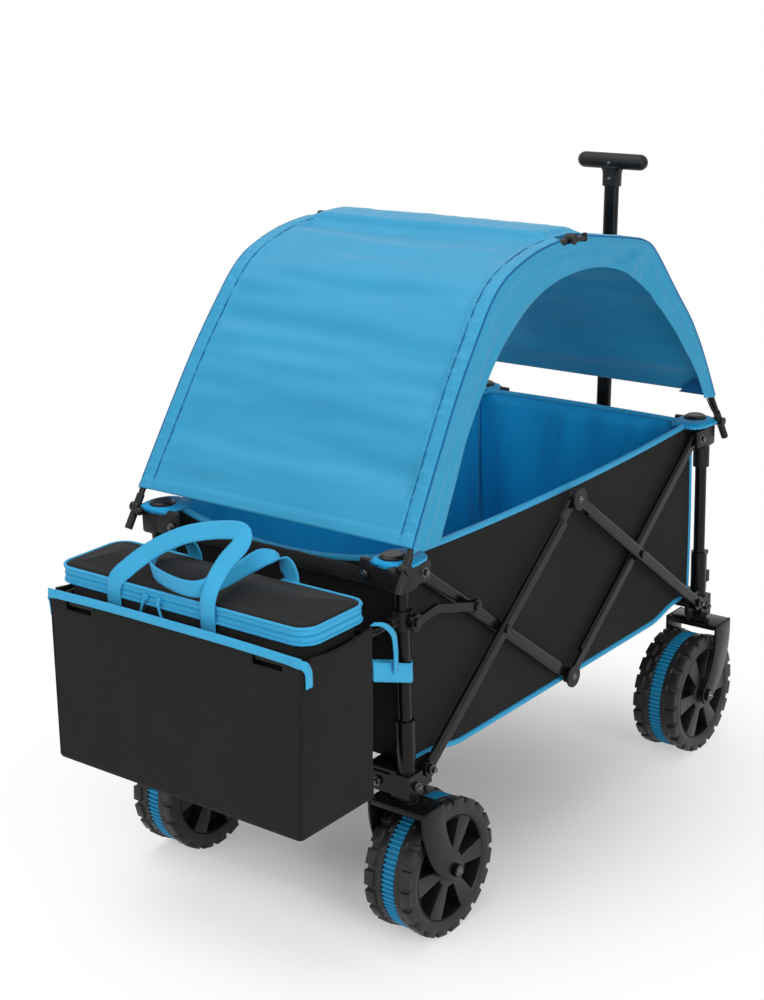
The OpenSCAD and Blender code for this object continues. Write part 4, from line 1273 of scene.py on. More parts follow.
@dataclass
class Basket(Assembly):
    """Open cloth basket hung on its rail, with trim, corner loops and post straps."""

    far_x: float = -619.8
    near_x: float = -476.0
    half_y: float = 230.4
    taper: float = 6.0
    lean: float = 12.0
    low: float = 248.0
    top: float = 493.0
    near_top: float = 473.7
    post: Pair = (-408.0, 224.0)
    # Low edge and width of a post strap, and its distance from the post's middle.
    strap: Pair = (391.0, 28.0)
    strap_reach: float = 11.2
    # Each slot for the rail: its Y, half its width and half its height.
    slot: Triple = (172.0, 24.0, 7.0)
    slot_z: float = 481.0
    cloth: float = 1.6
    trim_wide: float = 12.0
    tie_wide: float = 9.0

    def hem(self, x: float) -> float:
        """Gives the top edge's height: level at the far rail, low at the near wall.

        Args:
            x: where along the wagon, in millimetres.

        Returns:
            The height in millimetres.
        """
        share = min(max((x - self.far_x) / (self.near_x - self.far_x), 0.0), 1.0)
        step = 14 * fade(x, self.near_x - 3, self.near_x)
        return self.top - 7 * math.sin(math.pi * share) - step

    def wall(self) -> None:
        """Builds the basket's walls as one bulging shell, open at the rail's sleeve slots."""
        half_x, mid_x = (self.near_x - self.far_x) / 2, (self.near_x + self.far_x) / 2
        tall = self.top - self.low

        def place(u: float, v: float) -> Vector:
            """Gives a place on the walls.

            Args:
                u: the share of the way around.
                v: the share of the way up.

            Returns:
                The place in the row frame.
            """
            x, y, out_x, out_y = around(u, half_x - 1.2, self.half_y - 1.2 - self.taper * (1 - v),
                                        5.0)
            z = self.low + (self.hem(mid_x + x) - self.low) * v
            middle = fade(half_x - abs(x), 4, 40)
            if abs(out_x) > 0.5:
                middle = fade(self.half_y - abs(y), 8, 90)
            firm = 0.25 if out_x > 0.5 else 1.0
            swell = 4.5 * math.sin(math.pi * min(v * 1.05, 1.0)) * middle * firm
            crease = 1.7 * ripple(y / 70 + x / 50, z / 60, 2.0)
            crease += 1.1 * ripple(y / 26 + z / 40, z / 90, 6.0)
            push = swell + crease * fade(v, 0.02, 0.2) * fade(1 - v, 0.04, 0.2)
            lean = self.lean * (1 - v) * fade(-x, -half_x, half_x)
            return at(mid_x + x - lean + out_x * push, y + out_y * push, z)

        bm = cloth_grid(260, 48, (2 * (2 * half_x + 2 * self.half_y), tall), place)
        weld(bm)
        slot_y, slot_half, slot_tall = self.slot
        slots = []
        for face in bm.faces:
            spot = face.calc_center_median() * 1000
            if face.normal.x < -0.5 or spot.x - SHIFT < self.far_x + 12:
                if abs(abs(spot.y) - slot_y) < slot_half and abs(spot.z - self.slot_z) < slot_tall:
                    slots.append(face)
        bmesh.ops.delete(bm, geom=slots, context="FACES")
        area = sum(face.calc_area() for face in bm.faces)
        walls = self.piece("basket_walls", bm, Palette.BLACK_CLOTH, "rear_top", ("basket",),
                           thick=self.cloth)
        wide = self.half_y - self.taper

        def floor(u: float, v: float) -> Vector:
            """Gives a place on the sagging floor, u from the far wall and v across."""
            sag = 5.0 * math.sin(math.pi * u) * math.sin(math.pi * v)
            return at(self.far_x - self.lean * (1 - u) + 3 + (2 * half_x - 6) * u,
                      (2 * v - 1) * (wide - 3), self.low + 1.5 - sag)

        bm = cloth_grid(24, 60, (2 * half_x, 2 * wide), floor)
        made = self.piece("basket_floor", bm, Palette.BLACK_CLOTH, "rear_top", thick=self.cloth)

    def trim(self) -> None:
        """Builds the blue binding over the far edge and the webbing loops at its corners."""
        half, inset = self.half_y - 1.5, 2.4
        path = Route([at(self.far_x + x, half * share, self.top + z) for x, share, z in (
            (-1.4, 1, -2), (-2.2, 0.5, 1), (-2.6, 0, 1.5), (-2.2, -0.5, 1), (-1.4, -1, -2))])

        def tipped(share: float) -> Vector:
            """Gives the binding's width direction, tipped in over the rail."""
            return Vector((0.12, 0.0, 1.0)).normalized()

        self.piece("basket_binding", ribbon(path, tipped, self.trim_wide, 120), Palette.WEBBING,
                   "rear_top", thick=2.2)
        for side in Side:
            s = side.value
            loop = Route([at(self.far_x + x, s * (half + 1.6 + y), self.top + z)
                          for x, y, z in ((-2.6, -18, -1.5), (-2.4, -5, -3), (2.5, 1.2, -6),
                                          (7.5, 2.2, -15), (8.5, 2.2, -27), (8.5, 1.6, -37))])

            def across(share: float) -> Vector:
                """Gives the loop's width direction as it turns the corner and hangs."""
                out = Vector((-1.0, 0.0, 0.0)).lerp(Vector((0.0, s, 0.0)), fade(share, 0.2, 0.5))
                return loop.along(share).cross(out).normalized()

            self.piece(f"basket_loop_{side.word}", ribbon(loop, across, self.trim_wide, 40),
                       Palette.WEBBING, "rear_top", thick=2.0)
            xs = [self.far_x + 14 + (self.near_x - self.far_x - 20) * i / 24 for i in range(25)]
            bm = bmesh.new()
            sweep(bm, [at(x, s * (self.half_y - 0.6), self.hem(x)) for x in xs], 2.6, 8)
            sweep(bm,
                  [at(self.far_x + inset, s * (self.half_y - inset), self.top - 8),
                   at(self.far_x - self.lean + inset, s * (self.half_y - self.taper - inset),
                      self.low + 2)], 2.0, 8)
            self.piece(f"basket_edge_{side.word}", bm, Palette.BLACK_CLOTH, "rear_top")

    def straps(self) -> None:
        """Builds the webbing around each rear post and the tie down to it."""
        (px, py), (low, wide), reach = self.post, self.strap, self.strap_reach
        turns = [math.pi * i / 12 for i in range(13)]
        loop = [(self.near_x + 1.2, py - reach),
                *((px + reach * math.sin(a), py - reach * math.cos(a)) for a in turns),
                (self.near_x - 2, py + 4)]
        drop = ((self.near_x - 8, 9, self.near_top + 26),
                (self.near_x + 10, 14, self.near_top + 20), (px - 40, 15, self.near_top + 2),
                (px - 35, 14.6, self.near_top - 22), (px - 34, 13.8, low + wide + 14),
                (px - 34, 13.2, low + wide))

        def lengthwise(share: float) -> Vector:
            """Gives the tie's width direction, nearly level along the wagon."""
            return Vector((1.0, 0.0, 0.25)).normalized()

        for side in Side:
            s = side.value
            path = Route([at(x, s * y, low + wide / 2 + 24 * max(px - x, 0.0) / (px - self.near_x))
                          for x, y in loop], smooth=False)
            self.piece(f"basket_strap_{side.word}", ribbon(path, upright, wide, 60, 6),
                       Palette.WEBBING, "rear_top", ("basket_straps",), thick=1.8)
            tie = Route([at(x, s * (py + y), z) for x, y, z in drop])
            self.piece(f"basket_tie_{side.word}", ribbon(tie, lengthwise, self.tie_wide, 40, 2),
                       Palette.WEBBING, "rear_top", thick=1.6)

    def build(self) -> None:
        """Builds and dresses the whole basket."""
        self.carry(Palette.STEEL, "basket_rail")
        self.wall()
        self.trim()
        self.straps()


@dataclass
class CoolerBag(Assembly):
    """Padded cooler bag: soft body, crowned lid, zip with pulls and two carry handles."""

    mid_x: float = -541.75
    half_x: float = 62.95
    half_y: float = 214.7
    corner: float = 26.0
    low: float = 252.8
    joint: float = 504.0
    lid_top: float = 529.3
    lid_over: float = 11.0
    crown: float = 9.0
    # The zip's run as shares of the way around, and its tape's inner and outer edge.
    zip_ends: Pair = (-0.43, 0.43)
    tape: Pair = (0.8, 8.6)
    coil_r: float = 1.3
    piping_r: float = 2.4
    piping_z: float = 10.2
    # Each zip pull's place along Y and how far its cord swings aside.
    pull_at: tuple[Pair, ...] = ((52.0, 9.0), (28.0, -7.0))
    pull_r: float = 1.8
    strap_wide: float = 25.0

    def body(self) -> None:
        """Builds the bag's body, drawn in at the bottom and slack between its corners."""
        tall = self.joint - self.low

        def place(u: float, v: float) -> Vector:
            """Gives a place on the bag's sides.

            Args:
                u: the share of the way around.
                v: the share of the way up.

            Returns:
                The place in the row frame.
            """
            x, y, out_x, out_y = around(u, self.half_x - 2, self.half_y - 2, self.corner - 2)
            slack = 2.2 * ripple(y / 60 + x / 40, v * 4, 3.0) * fade(1 - v, 0.02, 0.15) - 1.5
            tuck = 10 * (1 - fade(v, 0.0, 0.06))
            return at(self.mid_x + x + out_x * (slack - tuck), y + out_y * (slack - tuck),
                      self.low + tall * v)

        bm = cloth_grid(180, 30, (2 * (self.half_x + self.half_y) * 2, tall), place)
        weld(bm)
        foot = [e for e in bm.edges
                if e.is_boundary and max(v.co.z for v in e.verts) * 1000 < self.low + 1]
        bmesh.ops.edgeloop_fill(bm, edges=foot)
        made = self.piece("cooler_body", bm, Palette.BLACK_CLOTH, "cooler", ("cooler_bag",),
                          thick=2.4)

    def lid(self) -> None:
        """Builds the lid's crowned top and its black side band."""
        hx, hy, r = self.half_x - 1.5, self.half_y + self.lid_over - 1.5, self.corner - 1.5

        def top(u: float, v: float) -> Vector:
            """Gives a place on the lid's top.

            Args:
                u: the share of the way along X.
                v: the share of the way along Y.

            Returns:
                The place in the row frame, drawn in at the round corners.
            """
            x, y = (2 * u - 1) * hx, (2 * v - 1) * hy
            dx, dy = max(abs(x) - (hx - r), 0.0), max(abs(y) - (hy - r), 0.0)
            if dx > 0 and dy > 0:
                scale = max(dx, dy) / math.hypot(dx, dy)
                x, y = math.copysign(hx - r + dx * scale, x), math.copysign(hy - r + dy * scale, y)
            inner = min(hx - abs(x), hy - abs(y)) if not (dx and dy) else r - max(dx, dy)
            lift = self.crown * fade(inner, 6, 60) + 5.0 * (fade(inner, -0.5, 7) - 1)
            dent = 1.2 * ripple(x / 40, y / 70, 5.0) * fade(inner, 8, 30)
            return at(self.mid_x + x, y, self.lid_top + lift + dent)

        made = self.piece("cooler_lid_top", cloth_grid(56, 150, (2 * hx, 2 * hy), top),
                          Palette.BLACK_CLOTH, "lid", ("cooler_lid",), thick=2.0)

        def band(u: float, v: float) -> Vector:
            """Gives a place on the lid's side, u around it and v up."""
            x, y, *_ = around(u, hx, hy, r)
            return at(self.mid_x + x, y, self.joint + 1 + (self.lid_top - 4.6 - self.joint - 1) * v)

        bm = cloth_grid(180, 4, (4 * (hx + hy), 20), band)
        weld(bm)
        self.piece("cooler_lid_band", bm, Palette.BLACK_CLOTH, "lid", thick=2.0)

    def ring(self, z: float, out: float, count: int = 200) -> list[Vector]:
        """Gives places along the zip's run around the lid's edge.

        Args:
            z: their height in millimetres.
            out: how far they stand off the edge.
            count: the number of steps.

        Returns:
            The places in the row frame.
        """
        spots, (first, last) = [], self.zip_ends
        for i in range(count + 1):
            x, y, out_x, out_y = around(first + (last - first) * i / count, self.half_x - 1,
                                         self.half_y + self.lid_over - 1, self.corner - 1)
            spots.append(at(self.mid_x + x + out_x * out, y + out_y * out, z))
        return spots

    def zip(self) -> None:
        """Builds the zip: two taped edges, the coil between them, its piping and its pulls."""
        middle, (low, high) = (self.joint + self.lid_top) / 2, self.tape
        for name, sign in (("upper", 1), ("lower", -1)):
            path = Route(self.ring(middle + sign * (low + high) / 2, low, 160), smooth=False)
            self.piece(f"cooler_zip_{name}", ribbon(path, upright, high - low, 200, 3),
                       Palette.WEBBING, "lid", ("cooler_zip",), thick=1.0)
        coil, piping, pulls = bmesh.new(), bmesh.new(), bmesh.new()
        sweep(coil, self.ring(middle, 0.6), self.coil_r, 8)
        self.piece("cooler_zip_coil", coil, Palette.LINING, "lid")
        for edge in (self.piping_z, -self.piping_z):
            sweep(piping, self.ring(middle + edge, 0.8), self.piping_r, 8)
        self.piece("cooler_zip_piping", piping, Palette.WEBBING, "lid")
        x = self.mid_x - self.half_x
        for y, lean in self.pull_at:
            block(pulls, at(x - 4.0, y - 4, middle - 4), at(x - 0.2, y + 4, middle + 4), 1.2)
            path = [at(x - 4, y, middle), at(x - 6, y + lean * 0.3, middle - 8),
                    at(x - 6, y + lean, middle - 24)]
            sweep(pulls, Route(path).samples, self.pull_r, 8)
        self.piece("cooler_zip_pulls", pulls, Palette.WEBBING, "lid")

    def handles(self) -> None:
        """Builds the two webbing carry handles: one leans back, one lies over the lid."""
        front, back = self.mid_x - self.half_x - 1.6, self.mid_x + self.half_x + 1.4
        runs = {"front": [(front, 114, 488), (front - 0.8, 109, 526), (front + 6, 86, 551),
                          (front + 18, 58, 574), (front + 28, 30, 591), (front + 36, -2, 605),
                          (front + 42, -48, 617), (front + 43, -86, 621), (front + 36, -92, 608),
                          (front + 22, -76, 584), (front + 7, -67, 559), (front - 2.5, -65, 540),
                          (front - 2.5, -62, 520), (front, -59, 488)],
                "back": [(back, -92, 490), (back + 1, -92, 515), (back + 4, -88, 538),
                         (back + 4, -72, 552), (back - 8, -58, 559), (back - 40, -59, 559),
                         (back - 78, -62, 556), (back - 118, -56, 551), (back - 130, -36, 546),
                         (back - 128, 4, 546), (back - 112, 54, 549), (back - 75, 86, 554),
                         (back - 36, 92, 557), (back - 8, 90, 553), (back + 1, 86, 536),
                         (back + 1, 84, 515), (back, 84, 490)]}
        for name, points in runs.items():
            path = Route([at(*p) for p in points])

            def across(share: float) -> Vector:
                """Gives the strap's width direction, which twists from its feet to its middle.

                Args:
                    share: the share of the strap's length.

                Returns:
                    The unit direction.
                """
                way, middle = path.along(share), math.sin(math.pi * share) ** 2
                if name == "front":
                    out = Vector((-1.0, 0.0, 0.0)).lerp(Vector((-0.85, -0.3, 0.6)), middle)
                    return way.cross(out).normalized()
                turn = math.pi / 2 * (fade(share, 0.08, 0.3) + fade(share, 0.7, 0.92))
                wide = Vector((-0.25 * math.sin(turn), math.cos(turn), math.sin(turn)))
                return (wide - way * wide.dot(way)).normalized()

            bm = ribbon(path, across, self.strap_wide, 130, 6)
            made = self.piece(f"carry_handle_{name}", bm, Palette.WEBBING, "cooler",
                              ("carry_handles",), thick=2.0)
            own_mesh(made)

    def build(self) -> None:
        """Builds and dresses the whole bag."""
        self.body()
        self.lid()
        self.zip()
        self.handles()


@dataclass
class Wheel(Assembly):
    """Moulded wheel: lugged tyre, ribbed band and spoked centre."""

    end: End
    side: Side
    axle: Triple = (362.0, 224.0, 100.0)
    tip: float = 100.0
    half: float = 40.0
    groove: float = 10.8
    root: float = 95.6
    rim: float = 76.0
    lugs: int = 20
    ribs: int = 84
    windows: int = 6
    hub: float = 23.0
    bore: float = 5.3
    lug_long: float = 23.0
    pad_long: float = 11.0
    lug_round: float = 1.8
    rib_deep: float = 4.4
    pocket_deep: float = 24.0
    spoke_half: float = 7.5
    spoke_flare: float = 0.16
    spoke_round: float = 1.4

    @property
    def word(self) -> str:
        """Gives the wheel's name in the frame."""
        return f"{self.end.word}_{self.side.word}"

    def seat(self, bm: Shape, name: str, finish: Finish, node: str) -> None:
        """Moves a part of the wheel that is drawn about the origin to its axle and dresses it.

        Args:
            bm: its mesh.
            name: the part's name.
            finish: its finish.
            node: the kind of solid that it stands for.
        """
        x, y, z = self.axle
        bmesh.ops.translate(bm, vec=at(self.end.value * x, self.side.value * y, z), verts=bm.verts)
        self.piece(f"wheel_{self.word}_{name}", bm, finish, f"wheel_{self.word}",
                   (f"{node}_{self.word}",))

    def lug(self, bm: Shape, low: Pair, high: Pair, wide: float, turn: float) -> None:
        """Adds a raised block to the tread.

        Args:
            bm: the mesh that gets it.
            low: the foot's (radius, y) nearest the band.
            high: the top's (radius, y) at the shoulder.
            wide: the block's length around the tread.
            turn: its place around the tread, in radians.
        """
        made = bmesh.ops.create_cube(bm, size=1.0)["verts"]
        for v in made:
            shoulder = (v.co.y > 0) == (high[1] > 0)
            r = high[0] if v.co.z > 0 else low[0] - (6.0 if shoulder else 0.0)
            y = high[1] if shoulder else low[1]
            v.co = Vector((math.copysign(wide / 2, v.co.x), y, r)) / 1000
        done = soften(bm, rim_of(made), self.lug_round)
        bmesh.ops.rotate(bm, cent=(0, 0, 0), matrix=Matrix.Rotation(turn, 3, "Y"),
                         verts=list(dict.fromkeys(v for f in done["faces"] for v in f.verts)))

    def tyre(self) -> None:
        """Builds the carcass, its shoulder lugs and the low pads beside the band."""
        bm = bmesh.new()
        h, g = self.half, self.groove
        flank = [(self.rim, h - 4), (self.rim + 1.5, h - 2.2), (self.rim + 6, h - 1),
                 (self.root - 8, h - 0.6), (self.root - 2.5, h - 2.5), (self.root, h - 7),
                 (self.root + 1.6, g + 9), (self.root + 1.6, g + 0.8), (self.root + 0.8, g),
                 (self.root - 7, g)]
        lathe(bm, flank + [(r, -y) for r, y in reversed(flank)], 88)
        for flip in (1, -1):
            for i in range(self.lugs):
                turn = math.tau * (i + 0.25 * flip) / self.lugs
                self.lug(bm, (self.root - 3, flip * (g + 12)), (self.tip, flip * (h - 1.4)),
                         self.lug_long, turn)
                self.lug(bm, (self.root, flip * (g + 3.5)), (self.root + 2.9, flip * (g + 9)),
                         self.pad_long, turn + math.pi / self.lugs)
        self.seat(bm, "tyre", Palette.RUBBER, "tyre")

    def band(self) -> None:
        """Builds the ribbed band in the tread."""
        bm = bmesh.new()
        g, top = self.groove - 0.4, self.tip - 2.6
        lathe(bm,
              [(self.root - 7, g), (top - 0.8, g), (top, g - 0.8), (top, 0.8 - g), (top - 0.8, -g),
               (self.root - 7, -g)], self.ribs * 6)
        pitch = math.tau / self.ribs
        for v in bm.verts:
            r = math.hypot(v.co.x, v.co.z)
            if r * 1000 > top - 2:
                share = (math.atan2(v.co.z, v.co.x) % pitch) / pitch
                drop = self.rib_deep * fade(abs(share - 0.5), 0.14, 0.26) / 1000
                v.co.x, v.co.z = v.co.x * (r - drop) / r, v.co.z * (r - drop) / r
        self.seat(bm, "band", Palette.BAND, "band")

    def centre(self) -> None:
        """Builds the spoked centre: both faces have pockets between broad spokes."""
        bm, parts = bmesh.new(), 6
        face_y, turn = self.half - 3.0, math.tau / self.windows
        near, far = self.hub + 4, self.rim - 3.5
        lathe(bm,
              [(self.bore, 0), (self.bore, self.half - 1), (self.hub - 8, self.half - 0.6),
               (self.hub, face_y + 0.6), (near, face_y), (far, face_y),
               (self.rim - 1.5, face_y + 0.6), (self.rim - 0.2, face_y), (self.rim - 0.2, 0)],
              self.windows * parts, closed=False)

        def on_face(spot: Vector) -> float:
            """Gives the radius in millimetres of a place on the spoked face, or 0 off it."""
            r = math.hypot(spot.x, spot.z) * 1000
            return r if near - 1 < r < far + 1 and abs(spot.y * 1000 - face_y) < 0.5 else 0.0

        for v in bm.verts:
            if r := on_face(v.co):
                a = math.atan2(v.co.z, v.co.x)
                k = round((a % turn) / (turn / parts))
                edge = math.asin((self.spoke_half + self.spoke_flare * (r - near)) / r)
                if k in (1, parts - 1):
                    a += (edge - turn / parts) * (1 if k == 1 else -1)
                    v.co.x, v.co.z = math.cos(a) * r / 1000, math.sin(a) * r / 1000
        pocket = []
        for face in bm.faces:
            c = face.calc_center_median()
            if on_face(c) and 1 <= int((math.atan2(c.z, c.x) % turn) / (turn / parts)) <= parts - 2:
                pocket.append(face)
        grown = bmesh.ops.extrude_face_region(bm, geom=pocket)["geom"]
        bmesh.ops.delete(bm, geom=pocket, context="FACES")
        bmesh.ops.translate(bm, vec=(0, -self.pocket_deep / 1000, 0), verts=only(grown, Vert))
        bmesh.ops.recalc_face_normals(bm, faces=bm.faces)
        crisp = [e for e in bm.edges
                 if len(e.link_faces) == 2 and e.calc_face_angle(0.0) > math.radians(50)
                 and max(v.co.y for v in e.verts) > (face_y - 1) / 1000]
        soften(bm, crisp, self.spoke_round)
        bmesh.ops.mirror(bm, geom=[*bm.verts, *bm.edges, *bm.faces], axis="Y", merge_dist=MERGE)
        self.seat(bm, "centre", Palette.RIM, "rim")

    def build(self) -> None:
        """Builds and dresses the whole wheel."""
        self.tyre()
        self.band()
        self.centre()


@dataclass
class Fork(Assembly):
    """Folded plate fork: curved legs, flat crown with folded lips and a stem collar."""

    end: End
    side: Side
    post: Pair = (408.0, 224.0)
    axle: Pair = (362.0, 100.0)
    gap: float = 44.0
    plate: float = 4.0
    crown: float = 211.0
    reach: Pair = (436.0, 386.0)
    tip: float = 17.0
    edge_round: float = 0.9
    fold_round: float = 1.2
    # Width and height of an axle nut, and its seat's distance from the plate.
    nut: Pair = (10.0, 4.0)
    nut_out: float = 4.2
    # Radius, foot and top of the stem's collar and of the stem, above the crown.
    stem: tuple[Triple, ...] = ((16.0, 0.0, 5.6), (7.0, 5.6, 30.0))

    def outline(self) -> list[Pair]:
        """Draws the leg's outline, for a rear fork.

        Returns:
            The outline's (x, z) points in millimetres.
        """
        (ax, az), (back, ahead) = self.axle, self.reach
        top, waist, turn = self.crown + self.plate, self.crown - 16, self.tip * math.sqrt(0.5)
        points = [(-back, top), (-back, waist)]

        def bend(a: Pair, b: Pair, c: Pair, steps: int = 14) -> None:
            """Adds a curve from a to c that is drawn towards b."""
            for i in range(1, steps + 1):
                t = i / steps
                shares = (1 - t) ** 2, 2 * t * (1 - t), t * t
                points.append(tuple(shares[0] * p + shares[1] * q + shares[2] * r
                                    for p, q, r in zip(a, b, c)))

        bend((-back, waist), (-back + 4, az + 24), (-ax - turn, az - turn))
        for i in range(1, 18):
            a = math.radians(225 + 180 * i / 18)
            points.append((-ax + self.tip * math.cos(a), az + self.tip * math.sin(a)))
        bend((-ax + turn, az + turn), (-ahead + 2, az + 48), (-ahead, waist))
        return [*points, (-ahead, top)]

    def build(self) -> None:
        """Builds and dresses the fork with its axle nuts."""
        bm = bmesh.new()
        (px, py), sign, s = self.post, self.end.value, self.side.value
        for low in (-self.gap - self.plate, self.gap):
            verts = [bm.verts.new(at(-sign * x, s * py + low, z)) for x, z in self.outline()]
            leg = bm.faces.new(verts)
            grown = bmesh.ops.extrude_face_region(bm, geom=[leg])["geom"]
            bmesh.ops.translate(bm, vec=(0, self.plate / 1000, 0), verts=only(grown, Vert))
        rims = [e for e in bm.edges if abs(e.verts[0].co.y - e.verts[1].co.y) < 1e-6]
        soften(bm, rims, self.edge_round)
        wide, inner, (back, ahead) = self.gap + self.plate, self.gap - 1, self.reach
        for near, far, half, low, high in (
                (back, ahead, wide, 0.0, self.plate), (back, back - self.plate, inner, -5, 3),
                (ahead, ahead + self.plate, inner, -5, 3)):
            corner_block(bm, sign, s, (near, py - half, self.crown + low),
                         (far, py + half, self.crown + high), self.fold_round)
        for radius, low, high in self.stem:
            here = at(sign * px, s * py, self.crown + self.plate + (low + high) / 2)
            drum(bm, Matrix.Translation(here), (radius, radius), high - low, 40)
        word = f"{self.end.word}_{self.side.word}"
        front = self.end is End.FRONT
        body = f"castor_{self.side.word}" if front else "rear_base"
        self.piece(f"fork_{word}", bm, Palette.STEEL, body,
                   (f"fork_{word}" if front else "rear_forks",))
        bm = bmesh.new()
        ax, az = self.axle
        for out in (1, -1):
            spot = at(sign * ax, s * py + out * (wide + self.nut_out), az)
            bolt(bm, spot, Vector((0, out, 0)), *self.nut, BoltHead.DOME)
        self.piece(f"fork_{word}_nuts", bm, Palette.BOLT, body)


@dataclass
class Chassis(Assembly):
    """Steel frame, plastic corners, handle and every bolt that shows on them."""

    pivot_x: float = 378.0
    low_z: float = 254.0
    high_z: float = 540.0
    lean: float = 3.2
    grip_z: float = 724.0
    grip_r: float = 13.3
    grip_half: float = 66.0
    # The handle's pivot as (x, z); the grip's heights run up the tube from it.
    pivot: Pair = (450.0, 239.0)
    # Height, half width and half depth of each ring of the grip's socket.
    socket: tuple[Triple, ...] = ((682, 14.6, 9.9), (683, 15.6, 10.7), (703, 15.8, 10.8),
                                  (708, 16.8, 11.0), (712, 19.4, 11.4), (714.5, 23.0, 11.6),
                                  (719, 25.0, 10.0))
    # Height up the tube and distance behind it of each grip screw.
    screws: tuple[Pair, ...] = ((695.0, 10.3), (721.0, 12.6))
    # Radius, foot and top of the collar on each front post.
    collar: Triple = (13.5, 484.0, 522.0)
    post: Pair = (408.0, 224.0)

    def bolts(self) -> None:
        """Builds the bolt heads on brackets and scissor knees."""
        for end in End:
            e, ahead = end.value, Vector((end.value, 0, 0))
            low, top = bmesh.new(), bmesh.new()
            for side in Side:
                s, out = side.value, Vector((0, side.value, 0))
                for bm, x, y, z, axis, across, tall in (
                        (low, self.pivot_x, 246.0, self.low_z, out, 10.0, 5.0),
                        (low, self.post[0], 243.0, 239, out, 9.0, 4.5),
                        (low, 427.0, 185, 239, ahead, 10.0, 4.5),
                        (top, self.pivot_x, 240.7, self.high_z, out, 10.0, 4.5),
                        (top, 428.0, 177, self.high_z, ahead, 9.0, 4.0)):
                    bolt(bm, at(e * x, s * y, z), axis, across, tall, BoltHead.HEX)
            self.piece(f"{end.word}_low_bolts", low, Palette.BOLT, f"{end.word}_base")
            self.piece(f"{end.word}_top_bolts", top, Palette.BOLT, f"{end.word}_top")
        for name, body, z, y in (("upper", "link_a", self.high_z, 246.0),
                                 ("lower", "link_c", self.low_z, 235.2)):
            bm = bmesh.new()
            for side in Side:
                bolt(bm, at(0, side.value * y, z), Vector((0, side.value, 0)), 8.0, 3.0,
                     BoltHead.DOME)
            self.piece(f"knee_{name}_screws", bm, Palette.BOLT, body)

    def corners(self, end: End) -> None:
        """Builds one end's two moulded upper corners.

        Args:
            end: the wagon's end.
        """
        bm, (px, py), (radius, low_z, high_z) = bmesh.new(), self.post, self.collar
        # Block, scissor cheek, end arm and pole ear.
        parts = (((391, 207, 520), (425, 240.7, 562), 5.0),
                 ((364, 234.9, 526), (416, 240.9, 554), 2.2),
                 ((416.5, 167, 525), (425, 211, 561.5), 3.0),
                 ((412, 226, 551), (441, 237.8, 562), 4.0))
        for side in Side:
            for low, high, rounding in parts:
                corner_block(bm, end.value, side.value, low, high, rounding, 3)
            if end is End.FRONT:
                sweep(bm, [at(px, side.value * py, z) for z in (low_z, high_z)], radius, 32)
        self.piece(f"{end.word}_top_corners", bm, Palette.NYLON, f"{end.word}_top",
                   (f"{end.word}_top_brackets",))

    def grip(self) -> None:
        """Builds the T-grip, a round-ended bar on a flared socket, and its two screws."""
        bm, screws = bmesh.new(), bmesh.new()
        turn = Matrix.Rotation(math.radians(self.lean), 4, "Y")
        foot = at(self.pivot[0], 0, self.pivot[1])
        way, back = turn @ Vector((0, 0, 1)), turn @ Vector((-1, 0, 0))
        r, tip = self.grip_r, self.grip_half - self.grip_r
        arc = [(r * math.cos(a), tip + r * math.sin(a))
               for a in (math.pi * i / 24 for i in range(12))]
        lathe(bm, [(0.0, -tip - r), *((x, -y) for x, y in reversed(arc)), *arc, (0.0, tip + r)], 40,
              closed=False)
        bmesh.ops.translate(bm, vec=foot + way * (self.grip_z / 1000), verts=bm.verts)
        rings, sides, power = [], 40, 0.6
        for z, wide, deep in self.socket:
            ring = []
            for i in range(sides):
                c, n = math.cos(math.tau * i / sides), math.sin(math.tau * i / sides)
                x = math.copysign(abs(c) ** power, c) * deep
                y = math.copysign(abs(n) ** power, n) * wide
                ring.append(bm.verts.new(foot + turn @ (Vector((x, y, z)) / 1000)))
            rings.append(ring)
        for low, high in zip(rings, rings[1:]):
            for i in range(sides):
                j = (i + 1) % sides
                bm.faces.new((low[i], low[j], high[j], high[i]))
        bm.faces.new(list(reversed(rings[0])))
        bm.faces.new(rings[-1])
        for up, out in self.screws:
            bolt(screws, foot + way * (up / 1000) + back * (out / 1000), back, 4.4, 1.6,
                 BoltHead.DOME)
        self.piece("grip_tee", bm, Palette.NYLON, "handle_slider", ("handle_grip",))
        self.piece("grip_screws", screws, Palette.BOLT, "handle_slider")

    def build(self) -> None:
        """Dresses the frame's solids and adds the bolts."""
        self.carry(Palette.STEEL, "rear_brackets", "rear_base_tubes", "rear_axles", "links_a",
                   "links_b", "links_c", "links_d", "rear_hoop", "rail_struts", "front_hoop",
                   "front_brackets", "front_base_tubes", "handle_bracket", "axle_front_right",
                   "axle_front_left", "handle_tube", "handle_bar")
        self.carry(Palette.NYLON, "pins_a", "pins_c", "rear_caps", "rail_collars", "front_caps",
                   "latch_right", "latch_left")
        for end in End:
            self.corners(end)
        self.bolts()
        self.grip()


